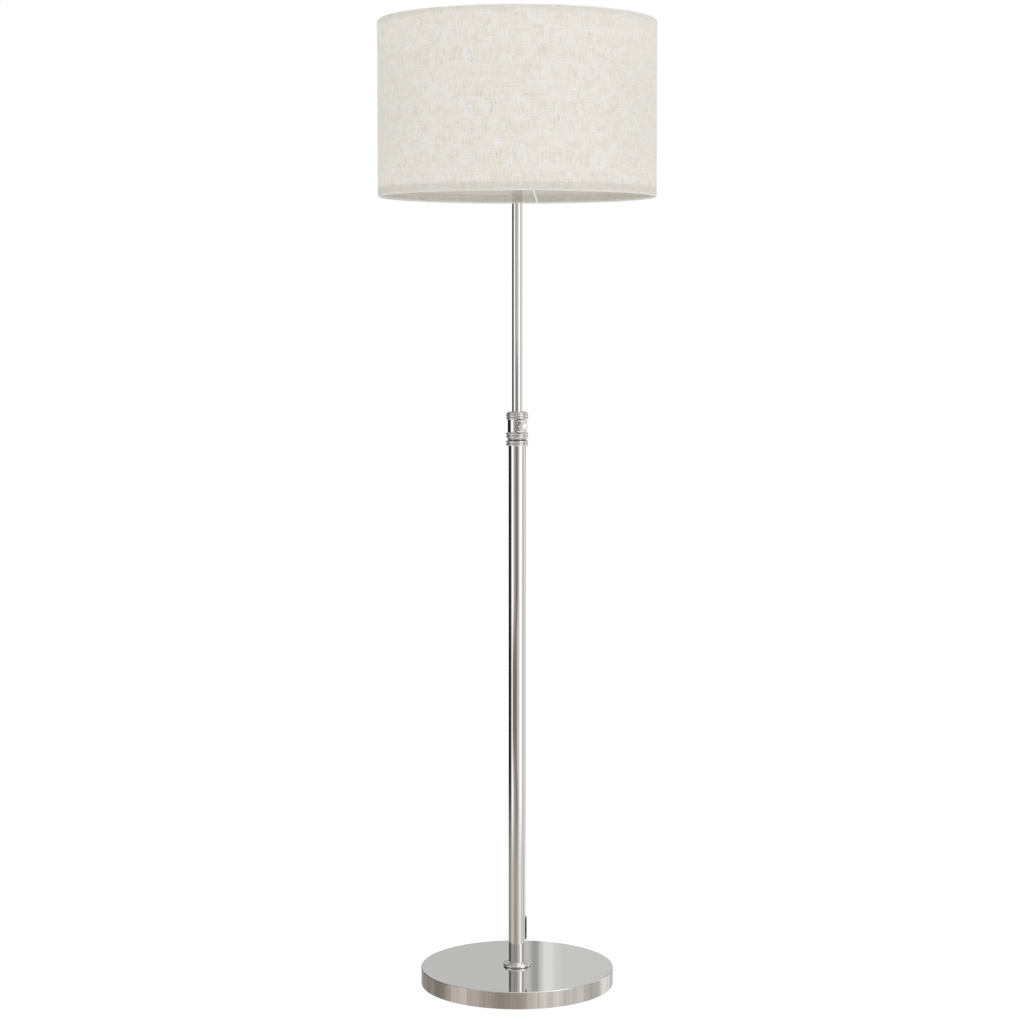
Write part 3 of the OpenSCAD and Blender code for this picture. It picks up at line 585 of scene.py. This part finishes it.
head_outline = np.concatenate([
    [[9.11, 782.4], [10.9, 782.4], [11.15, 782.7], [11.15, 812.4], [13.45, 812.42], [13.65, 812.6],
     [14.95, 815.2], [15.05, 815.45], [14.95, 815.7]],
    bead(817.2, low=-68), bead(821.4, high=84),
    [[14.3, 823.7], [14.05, 823.75], [14.0, 823.9], [14.0, 824.1], [14.0, 842.2], [14.0, 842.4],
     [14.05, 842.55], [14.3, 842.6]],
    bead(844.1, low=-50), bead(848.3, high=70), bead(851.5, mid=13.65, size=1.7, low=-55, high=72),
    [[13.8, 853.3], [13.3, 853.65], [12.6, 853.8], [9.5, 853.8], [9.11, 853.5]]])
fit(turned("head_body", head_outline, head_plating), "stand", "polished_plate", "clamp_head")


def oblong(half_w, half_h, corner, bearing):
    """Points of an upright oblong with round corners: the corner's circle plus the straight run that the
    bearing's quarter belongs to."""
    x, y = np.cos(bearing), np.sin(bearing)
    return np.stack([np.sign(np.round(x, 9)) * (half_w - corner) + corner * x,
                     np.sign(np.round(y, 9)) * (half_h - corner) + corner * y], axis=-1)


# The boss: rings of an oblong outline go out from the body to the face and in to the screw's hole
BOSS_W, BOSS_H, BOSS_CORNER, BOSS_FACE, SCREW_HOLE = 5.0, 9.5, 3.0, 17.2, 2.56
bearing = np.linspace(0, 2 * np.pi, 96, endpoint=False) + np.pi / 96
ease = np.radians(np.linspace(0, 90, 7))
rings = [oblong(BOSS_W - inset, BOSS_H - inset, BOSS_CORNER - inset, bearing) for inset in
         np.concatenate([[0, 0], 0.6 * (1 - np.cos(ease))])]
depth = np.concatenate([[10.05, 16.2], BOSS_FACE - 0.6 + 0.6 * np.sin(ease), [BOSS_FACE, BOSS_FACE, 10.05]])
hole = np.stack([np.cos(bearing), np.sin(bearing)], axis=-1)
rings += [hole * (SCREW_HOLE + 0.25), hole * SCREW_HOLE, hole * SCREW_HOLE]
depth[-2] -= 0.2
rings = np.array(rings)
boss = np.stack([rings[..., 0], 0 * rings[..., 0] - depth[:, None], rings[..., 1] + SCREW_Z], axis=-1)
fit(mesh_of("head_boss", boss, grid_faces(*boss.shape[:2]), head_plating, 40), "stand", "polished_plate",
    "clamp_head")
natural_nylon = moulded("natural_nylon", (0.85, 0.84, 0.79), 0.4, 500, tone=0.05)
dress(natural_nylon, "head_bush")


# ---- Thumb screw -----------------------------------------
# A threaded stem with a turned knob: fine grip ribs round its side, a polished bevel and a
# slightly domed face. It presses a brass pellet on the upper tube.
def thread(pitch, depth, low, high):
    """Cuts a helix: the radius drops by depth times a cosine of height / pitch less angle / a full turn,
    and the cut runs out over half a pitch at both ends."""
    def cut(r, h, a):
        run = np.clip(np.minimum(h - low, high - h) / (pitch / 2), 0, 1)
        return -depth * run * (r > 1) * (0.5 - 0.5 * np.cos(2 * np.pi * (h / pitch) - a))
    return cut


stem = np.arange(10.7, 21.9, 0.1)
stem_outline = np.concatenate([[[0, 10.6], [2.1, 10.6]], np.stack([np.full_like(stem, 2.5), stem], 1),
                               [[2.3, 22.0], [0, 22.0]]])
fit(turned("screw_stem", stem_outline, mirror_plating, 48, thread(0.8, 0.42, 10.8, 18.9), SCREW_Z, 60),
    "thumb_screw", "polished_plate", "clamp_screw")

KNOB_BACK, KNOB_FACE, KNOB_R, FACE_R, FACE_CROWN = 19.0, 30.0, 7.0, 5.1, 0.52
face = np.linspace(FACE_R, 0, 12)
knob_outline = np.concatenate([
    [[2.55, KNOB_BACK + 0.05], [2.7, KNOB_BACK], [6.3, KNOB_BACK], [6.65, KNOB_BACK + 0.1],
     [6.85, KNOB_BACK + 0.35], [6.9, KNOB_BACK + 0.6], [6.9, 27.3], [6.9, 27.45], [KNOB_R, 27.55],
     [KNOB_R, 27.8], [KNOB_R - 0.08, 27.92], [FACE_R + 0.06, 29.42], [FACE_R, 29.47]],
    np.stack([face, KNOB_FACE - FACE_CROWN * (face / FACE_R) ** 2], 1),
    [[0, 22.1], [2.55, 22.05]]])


def grip(count, depth, low, high, beyond):
    """Grip ribs: the radius drops by depth times a rounded wave of count ribs, between two heights, outside
    a radius."""
    def cut(r, h, a):
        return -depth * (r > beyond) * (h > low) * (h < high) * (0.5 - 0.5 * np.cos(count * a)) ** 0.7
    return cut


def grip_plating(name, count):
    """Polished plating with painted shade on the knob's ribbed side, darkest in the grooves; the bevel and
    face are left plain.
    """
    metal = Finish(name)
    x, y, z = metal.axes()
    above = z - SCREW_Z * MM
    mottle = metal.noise(500, 3)
    groove = 0.5 - (above.math("ARCTAN2", x) * count).math("COSINE") * 0.5
    # Painted shade: the knob's ribbed side is painted dark, darker in its grooves, with a faint mottle all
    # over
    side = y.over(-0.0277, -0.0275) * ((x * x + above ** 2) ** 0.5).over(0.0056, 0.0060)
    painted_shade_mottled = side * (0.55 + groove * 0.35) + mottle * 0.03
    return metal.skin({"Base Color": metal.mix(painted_shade_mottled, PLATE, (0.05, 0.045, 0.04)), "Metallic": 1.0,
                       "Roughness": 0.05 + mottle * 0.03 + side * 0.2,
                       "Normal": metal.bump(mottle, 0.02, 0.0003)})


fit(turned("screw_knob", knob_outline, grip_plating("knob_plating", 40), 320, grip(40, 0.3, 19.7, 27.3, 6.8),
           SCREW_Z), "thumb_screw", "polished_plate", "clamp_knob")


def brass(name):
    """Plain turned brass: tool lines and a brown bloom."""
    metal = Finish(name)
    line, bloom = metal.noise(50, 2, stretch=(2, 2, 60)), metal.noise(60, 3)
    tone = metal.mix(bloom.over(0.5, 0.75) * 0.5, (0.80, 0.62, 0.30), (0.45, 0.30, 0.13))
    return metal.skin({"Base Color": tone, "Metallic": 1.0, "Roughness": 0.22 + line * 0.12 + bloom * 0.1,
                       "Normal": metal.bump(line, 0.12, 0.0004)})


dress(brass("turned_brass"), "clamp_shoe", "tube_plug", "threaded_nipple", "holder_locknut", "screw_shell",
      "centre_contact")


# ---- Flex inside the tubes -------------------------------
# White two-core flex from the gland up to the holder. In the lower tube it is wound in a
# coil, which draws out and closes as the upper tube slides.
def swept(name, path, size, finish, sides=16, towards=(0, 0, 1), smooth=35):
    """Bar along a path: at each point an ellipse of half axes size, square to the path, its first axis at
    right angles to towards. The bar's ends close on the path."""
    path, towards = np.asarray(path, float), np.broadcast_to(np.asarray(towards, float), np.shape(path))
    on = np.gradient(path, axis=0)
    on /= np.linalg.norm(on, axis=1, keepdims=True)
    first = np.cross(on, towards)
    first /= np.linalg.norm(first, axis=1, keepdims=True)
    second = np.cross(on, first)
    size = np.broadcast_to(np.asarray(size, float), (len(path), 2))
    b = np.linspace(0, 2 * np.pi, sides, endpoint=False)[None, :, None]
    first, second = (first * size[:, :1])[:, None], (second * size[:, 1:])[:, None]
    points = path[:, None] + np.cos(b) * first + np.sin(b) * second
    ends = np.repeat(path[[0, -1], None], sides, axis=1)
    points = np.concatenate([ends[:1], points, ends[1:]])
    return mesh_of(name, points, grid_faces(*points.shape[:2], close_rows=False), finish, smooth)


COIL_LOW, COIL_HIGH, COIL_TURNS, COIL_R = 104.9, 461.0, 12, 7.6
turn_at = np.linspace(0, COIL_TURNS, 24 * COIL_TURNS + 1)
ease = np.clip(np.minimum(turn_at, COIL_TURNS - turn_at) / 0.5, 0, 1)
reach = COIL_R * (3 - 2 * ease) * ease ** 2
angle = 2 * np.pi * turn_at
wound = np.stack([reach * np.cos(angle), reach * np.sin(angle),
                  COIL_LOW + (COIL_HIGH - COIL_LOW) * turn_at / COIL_TURNS], axis=1)
outward = np.stack([np.cos(angle), np.sin(angle), 0 * angle], axis=1)
flex_white = moulded("flex_sheath", (0.85, 0.85, 0.84), 0.5, 700, tone=0.03)
coil = swept("flex_winding", wound, 2.5, flex_white, 12, np.cross(outward, np.gradient(wound, axis=0)))
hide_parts("flex_coil")
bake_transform(coil)
dress(flex_white, "flex_tail", "flex_upper", "holder_leads")


# ---- Upper tube ------------------------------------------
# Slimmer steel tube, polished and plated, with a nylon guide on two snap rings, a rubber
# bush in its lower end and a threaded brass plug in its upper end.
upper_outline = rounded([(6.3, 464.0, 0.2), (7.5, 464.0, 0.3), (7.5, 1170.4, 0.15), (6.3, 1170.4, 0.1)], 4)
fit(turned("upper_pole", upper_outline, tube_plating), "pole", "polished_tube", "upper_tube")
dress(natural_nylon, "tube_guide")
dress(zinc("spring_steel", (0.30, 0.30, 0.31), 0.4), "guide_clips")
dress(soft_black, "flex_grommet")


# ---- Neck and lamp holder --------------------------------
# A plated collar screwed on the pole's end carries a spun cap and a white moulded holder. A
# ribbed ring clamps the shade on the holder's shoulder, and a turn switch sits in its side.
neck_outline = rounded([(4.95, 1170.4), (7.5, 1170.4, 0.5), (7.5, 1196.4, 0.8), (4.95, 1196.4)])
fit(turned("neck_ring", neck_outline, mirror_plating, 128), "pole", "polished_plate", "neck_collar")

cap_outline = rounded([(4.95, 1196.4), (9.5, 1196.4, 1.0), (13.4, 1200.4, 4.0), (16.5, 1205.8, 3.0),
                       (16.5, 1210.4, 0.2), (15.5, 1210.4), (15.5, 1206.3, 3.0), (12.4, 1201.0, 4.0),
                       (9.0, 1197.6, 0.4), (4.95, 1197.6)], 8)
fit(turned("holder_base_cap", cap_outline, mirror_plating, 128), "pole", "holder_metal", "holder_cap")

white_moulding = moulded("white_moulding", (0.86, 0.86, 0.84), 0.36, 800, tone=0.02)
shell_rows = np.arange(1236.4, 1248.0, 0.25)
shell_outline = np.concatenate([
    rounded([(15.5, 1248.8, 0.3), (15.5, 1210.4), (16.5, 1210.4, 0.2), (16.5, 1232.8, 0.4),
             (19.5, 1232.8, 0.6), (19.5, 1235.2, 0.5), (16.5, 1235.2, 0.2)], 5),
    np.stack([np.full_like(shell_rows, 16.5), shell_rows], 1), [[16.45, 1248.3], [16.1, 1248.75]]])
fit(turned("holder_body", shell_outline, white_moulding, 144, thread(2.5, 0.55, 1236.8, 1247.8)), "pole",
    "holder_plastic", "holder_shell")

nut_rows = [(16.55, 1236.8), (21.5, 1236.8, 0.3), (21.5, 1239.8, 0.4), (18.7, 1239.8, 0.5),
            (18.7, 1245.8, 0.5), (16.55, 1245.8, 0.3)]
fit(turned("shade_clamp_ring", rounded(nut_rows, 5), white_moulding, 288, grip(36, 0.7, 1237.0, 1239.6, 21)),
    "pole", "holder_plastic", "shade_ring_nut")


def glazed(name, colour):
    """Glazed porcelain: milky body under a clear wavy glaze."""
    body = Finish(name)
    wave, speck = body.noise(120, 2), body.noise(900, 2).over(0.66, 0.74)
    return body.skin({"Base Color": body.mix(speck * 0.25, colour, (0.5, 0.45, 0.38)),
                      "Roughness": 0.12 + wave * 0.08, "Coat Weight": 0.6,
                      "Normal": body.bump(wave, 0.1, 0.0006)})


dress(glazed("glazed_floor", (0.88, 0.86, 0.80)), "holder_insulator")

SWITCH_Z = 1217.4
black_moulding = moulded("black_moulding", (0.025, 0.025, 0.027), 0.38, 900)
housing_outline = rounded([(1.56, 5.0), (5.0, 5.0, 0.3), (5.0, 19.5, 0.5), (1.56, 19.5, 0.2)], 4)
fit(turned("switch_body", housing_outline, black_moulding, 64, level=SWITCH_Z), "pole", "switch_plastic",
    "switch_housing")
grip_outline = rounded([(0, 12.0), (1.5, 12.0, 0.2), (1.5, 19.8), (5.4, 19.8, 0.4), (6.0, 21.0, 0.4),
                        (5.7, 30.0, 0.5), (5.0, 30.5, 0.5), (0, 30.3)], 4)
fit(turned("switch_grip", grip_outline, black_moulding, 144, grip(18, 0.6, 20.9, 29.9, 4.5), SWITCH_Z),
    "switch", "switch_plastic", "switch_knob")


# ---- Bulb ------------------------------------------------
# A standard frosted bulb, 60 mm across, with a rolled screw cap of thin aluminium.
def frosted(name, colour):
    """Frosted glass: a milky skin with a soft gloss and faint streaks in the frosting."""
    glass = Finish(name)
    frost, streak = glass.noise(1500, 2), glass.noise(35, 3, 0.6, 1.0)
    return glass.skin({"Base Color": glass.mix(streak, times(colour, 0.96), colour),
                       "Roughness": 0.30 + frost * 0.12, "Coat Weight": 0.25,
                       "Normal": glass.bump(frost, 0.05, 0.0001)})


BALL_Z, BALL_R = 1308.8, 30.0
crown = np.radians(np.linspace(-47, 90, 48))
flare = np.linspace(0, 1, 20)[:, None]
root, side, waist, mouth = np.array([(12.4, 1256), (13.2, 1268), (17.8, 1279), (20.46, 1286.86)])
neck = ((1 - flare) ** 3 * root + 3 * (1 - flare) ** 2 * flare * side
        + 3 * (1 - flare) * flare ** 2 * waist + flare ** 3 * mouth)
outer_glass = np.concatenate([[[12.4, 1249.95]], neck[:-1],
                              np.stack([BALL_R * np.cos(crown), BALL_Z + BALL_R * np.sin(crown)], 1)])
outer_glass[-1, 0] = 0
inner_glass = outer_glass[::-1] - np.stack([np.minimum(0.8, outer_glass[::-1, 0]),
                                            np.clip((outer_glass[::-1, 1] - BALL_Z) / BALL_R, 0, 1) * 0.8], 1)
fit(turned("bulb_envelope", np.concatenate([outer_glass, inner_glass]),
           frosted("frosted_glass", (0.93, 0.92, 0.88)), 128), "pole", "frosted_glass", "bulb_glass")
cap_rows = np.arange(1236.4, 1252.6, 0.4)
cap_skin = np.concatenate([
    [[0, 1229.9], [3.6, 1229.95], [4.3, 1230.3], [4.5, 1230.9], [4.9, 1232.2], [12.2, 1235.4],
     [12.9, 1236.0]],
    np.stack([np.full_like(cap_rows, 13.2), cap_rows], 1),
    [[13.1, 1253.4], [13.25, 1254.5], [13.0, 1254.9], [12.45, 1254.9], [12.45, 1240.0], [0, 1240.0]]])
rolled = zinc("rolled_aluminium", (0.70, 0.70, 0.70), 0.28)
fit(turned("bulb_screw_cap", cap_skin, rolled, 96, thread(3.6, 0.9, 1236.6, 1252.6), smooth=50), "pole",
    "bulb_cap_metal", "bulb_cap")


# ---- Shade frame -----------------------------------------
# Steel wire with white powder coat: two rings, a washer that sits on the holder's shoulder
# and three arms welded between the washer and the lower ring.
def powder(name, colour):
    """Powder coat: fine orange peel."""
    coat = Finish(name)
    peel, grime = coat.noise(650, 2), coat.noise(25, 3)
    return coat.skin({"Base Color": coat.mix(grime, times(colour, 0.97), colour),
                      "Roughness": 0.34 + peel * 0.1, "Normal": coat.bump(peel, 0.25, 0.0002)})


RING_R, RING_LOW, RING_HIGH, WIRE_R, FITTER_Z = 200.4, 1168.65, 1417.75, 1.6, 1236.0
white_powder = powder("white_powder_coat", (0.92, 0.92, 0.90))
section = np.linspace(0, 2 * np.pi, 16, endpoint=False)
for name, height, node in (("lower_wire", RING_LOW, "shade_bottom_ring"),
                           ("upper_wire", RING_HIGH, "shade_top_ring")):
    wire = np.stack([RING_R + WIRE_R * np.cos(section), height + WIRE_R * np.sin(section)], 1)
    fit(turned(name, wire, white_powder, 360, smooth=60), "pole", "white_enamel", node)

washer_outline = rounded([(16.8, 1235.2, 0.25), (24.0, 1235.2, 0.3), (24.0, 1236.8, 0.3),
                          (16.8, 1236.8, 0.25)], 4)
fit(turned("fitter_washer", washer_outline, white_powder, 128), "pole", "white_enamel", "fitter_ring")

ARM_TURNS = 63.5 + 120 * np.arange(3)
ARM_OUT, ARM_IN = RING_R - WIRE_R + 0.4, 23.6
for number, heading in enumerate(np.radians(ARM_TURNS)):
    # Straight wire, flattened at the washer where it is welded, and touching the ring below
    share = np.concatenate([np.linspace(0, 0.02, 5), np.linspace(0.04, 0.94, 24), np.linspace(0.95, 1, 8)])
    out = ARM_OUT + (ARM_IN - ARM_OUT) * share
    rise = RING_LOW + (FITTER_Z - RING_LOW) * share
    arm = np.stack([out * np.cos(heading), out * np.sin(heading), rise], axis=1)
    flat = np.clip((share - 0.95) / 0.04, 0, 1)
    size = WIRE_R * np.stack([1 + 0.25 * flat, 1 - 0.35 * flat], axis=1)
    size[0] *= 0.75
    fit(swept(f"spider_arm_{number + 1}", arm, size, white_powder, 20, smooth=60), "pole", "white_enamel",
        "spider_arms")


# ---- Shade liner -----------------------------------------
# A drum of white translucent plastic sheet, which the linen is laminated to all round. Its
# joint lies under the linen's overlap.
def backing(name, colour):
    """Plastic sheet: a satin skin with a faint drawing grain round the drum, a little light through it."""
    sheet = Finish(name)
    drawn = sheet.noise(30, 3, stretch=(1, 1, 25))
    return sheet.skin({"Base Color": sheet.mix(drawn, times(colour, 0.96), colour),
                       "Roughness": 0.42 + drawn * 0.12, "Normal": sheet.bump(drawn, 0.05, 0.0004)},
                      through=(0.97, 0.965, 0.95), share=0.65)


liner_outline = rounded([(202.05, 1168.4), (202.55, 1168.4), (202.55, 1418.0), (202.05, 1418.0)], 1)
fit(turned("liner_drum", liner_outline, backing("liner_sheet", (0.90, 0.89, 0.84)), 360), "pole",
    "shade_backing", "shade_liner")


# ---- Linen -----------------------------------------------
# Natural linen stretched round the liner, turned in over both wires and glued, with the lower
# hem notched for the arms. The cut's ends overlap in a straight seam at the back.
def linen(name):
    """Plain-weave linen by the cloth's own measures: warp and weft threads of uneven thickness, slubs that
    run along them, a few flecks of straw, and painted shade in a band at each hem, where the cloth lies
    double."""
    cloth = Finish(name)
    weave = cloth.place("UV")
    z = cloth.axes()[2]

    def streaks(length, width, seed, low, high, detail=2):
        """Streaks along the weft, and the same turned along the warp."""
        scales = (1 / length, 1 / width, 1), (1 / width, 1 / length, 1)
        return [cloth.noise(1, detail, 0.55, stretch=scale, shift=(seed + k, seed * 2.7, 0),
                            place=weave).over(low, high) for k, scale in enumerate(scales)]

    thread_pitch = 0.00078
    u, v, _ = cloth.axes(weave)
    warp, weft = u * (2 * np.pi / thread_pitch), v * (2 * np.pi / thread_pitch)
    crossing = (warp.math("SINE") * 0.5 + 0.5) * (weft.math("SINE") * 0.5 + 0.5)
    threads = streaks(0.024, 0.0017, 3.0, 0.50, 0.66)
    pale = streaks(0.020, 0.0016, 7.0, 0.50, 0.66)
    runs = streaks(0.014, 0.0020, 11.0, 0.54, 0.68)
    slubs = streaks(0.012, 0.0017, 23.0, 0.66, 0.74, 1)
    cloud = cloth.noise(70, 3, 0.6, place=weave)
    patch = cloth.noise(28, place=weave).over(0.38, 0.62) * 0.6 + 0.4
    straw = cloth.noise(1, 1, stretch=(300, 420, 1), shift=(5, 9, 0), place=weave).over(0.81, 0.84)
    tone = cloth.mix(cloud.over(0.42, 0.60), (0.955, 0.928, 0.855), (0.995, 0.968, 0.965))
    bright, ecru, sand = (1.0, 0.985, 0.955), (0.74, 0.705, 0.60), (0.68, 0.64, 0.50)
    for layer, share, colour in (
            (pale[0], 0.55, bright), (pale[1], 0.45, bright), (threads[0], 0.42, ecru),
            (threads[1], 0.52, ecru), (runs[0] * patch, 0.34, sand), (runs[1] * patch, 0.42, sand),
            (slubs[0] * patch, 0.62, (0.52, 0.46, 0.32)), (slubs[1] * patch, 0.80, (0.48, 0.42, 0.30)),
            (straw, 0.9, (0.28, 0.22, 0.10)), (crossing, 0.10, (1.0, 0.98, 0.95))):
        tone = cloth.mix(layer * share, tone, colour)
    # Painted shade: a darker band along each hem, where less light comes through the doubled cloth
    hem_band_shade = z.over(1.1795, 1.1780) * 0.35 + z.over(1.4110, 1.4125) * 0.05
    tone = cloth.mix(hem_band_shade, tone, cloth.mix(1.0, tone, (0.84, 0.82, 0.78), "MULTIPLY"))
    # Painted highlight: a pale line along the lowest fold of the lower hem
    tone = cloth.mix(z.over(1.1694, 1.1684) * 0.8, tone, (1.0, 0.99, 0.96))
    height = crossing * 0.5 + threads[0] * 0.3 + threads[1] * 0.3 + slubs[0] + slubs[1]
    return cloth.skin({"Base Color": tone, "Roughness": 0.88 + cloud * 0.08, "Sheen Weight": 0.08,
                       "Sheen Roughness": 0.5, "Normal": cloth.bump(height, 0.35, 0.0002)},
                      through=(0.96, 0.95, 0.93), share=0.42)


CLOTH_R, FOLD_R, CLOTH_T = 202.95, 2.25, 0.5
FOLD_LOW, FOLD_HIGH, SEAM = 1168.9, 1417.5, np.radians(74.1)
HEM_R = CLOTH_R - 1.2


def tucked(r_from, z_from, r_to, z_to, steps=7):
    """The turned-in leg from the fold to the liner: the radius goes over in a smooth step, and runs on."""
    z = np.linspace(z_from, z_to, steps)
    share = np.clip((z - z_from) / (0.55 * (z_to - z_from)), 0, 1)
    return np.stack([r_from + (r_to - r_from) * share ** 2 * (3 - 2 * share), z], axis=1)


under = np.radians(np.linspace(-180, 0, 13))
above = under + np.pi
fold_mid = CLOTH_R - FOLD_R
upright = np.linspace(FOLD_LOW, FOLD_HIGH, 26)[1:-1]
profile = np.concatenate([
    tucked(fold_mid - FOLD_R, FOLD_LOW, HEM_R, 1178.8)[::-1][:-1],
    np.stack([fold_mid + FOLD_R * np.cos(under), FOLD_LOW + FOLD_R * np.sin(under)], 1),
    np.stack([np.full_like(upright, CLOTH_R), upright], 1),
    np.stack([fold_mid + FOLD_R * np.cos(above), FOLD_HIGH + FOLD_R * np.sin(above)], 1),
    tucked(fold_mid - FOLD_R, FOLD_HIGH, HEM_R, 1412.0)[1:]])
run = np.concatenate([[0], np.cumsum(np.linalg.norm(np.diff(profile, axis=0), axis=1))])
turns = np.radians(np.arange(0, 360, 0.75))
near_seam = SEAM + np.radians(np.array([-1.78, -1.70, -1.66, -1.60, 1.60, 1.66, 1.70, 1.78]))
turns = np.sort(np.concatenate([turns, near_seam]))
off_seam = np.abs(turns - SEAM)[None, :]
lap = 0.42 * np.clip((np.radians(1.70) - off_seam) / np.radians(0.04), 0, 1)
up = np.clip((profile[:, 1:] - FOLD_LOW) / (FOLD_HIGH - FOLD_LOW), 0, 1)
sag = 0.10 * np.sin(3 * turns + 1.0) * np.sin(np.pi * up)
out = profile[:, :1] + (lap + sag - 0.10) * (profile[:, :1] > fold_mid)
points = np.stack([out * np.cos(turns), out * np.sin(turns), profile[:, 1:] + 0 * turns], axis=-1)
rows, columns = points.shape[:2]
faces = grid_faces(rows, columns, close_rows=False).reshape(rows - 1, columns, 4)
mid_turn = turns + (np.roll(turns, -1) - turns) % (2 * np.pi) / 2
from_arm = np.abs((mid_turn[:, None] - np.radians(ARM_TURNS) + np.pi) % (2 * np.pi) - np.pi).min(axis=1)
inside = (profile[:-1, 0] < fold_mid - 0.5) & (profile[:-1, 1] < 1200)
faces = faces[~(inside[:, None] & (from_arm < np.radians(0.8))[None, :])]
cloth = mesh_of("linen_cover", points, faces, linen("natural_linen"), 180)

# The cloth's own measures for its weave: metres round the drum and metres along the cut
round_drum = turns[faces % columns]
round_drum += 2 * np.pi * (round_drum < round_drum.max(axis=1, keepdims=True) - np.pi)
weave_map = cloth.data.uv_layers.new(name="weave")
measures = np.stack([round_drum * CLOTH_R, run[faces // columns]], axis=-1)
weave_map.data.foreach_set("uv", measures.ravel() * MM)
thick = cloth.modifiers.new("thickness", "SOLIDIFY")
thick.thickness, thick.offset = CLOTH_T * MM, 0
fit(cloth, "pole", "linen", "shade_linen", "shade_bottom_hem", "shade_top_hem")
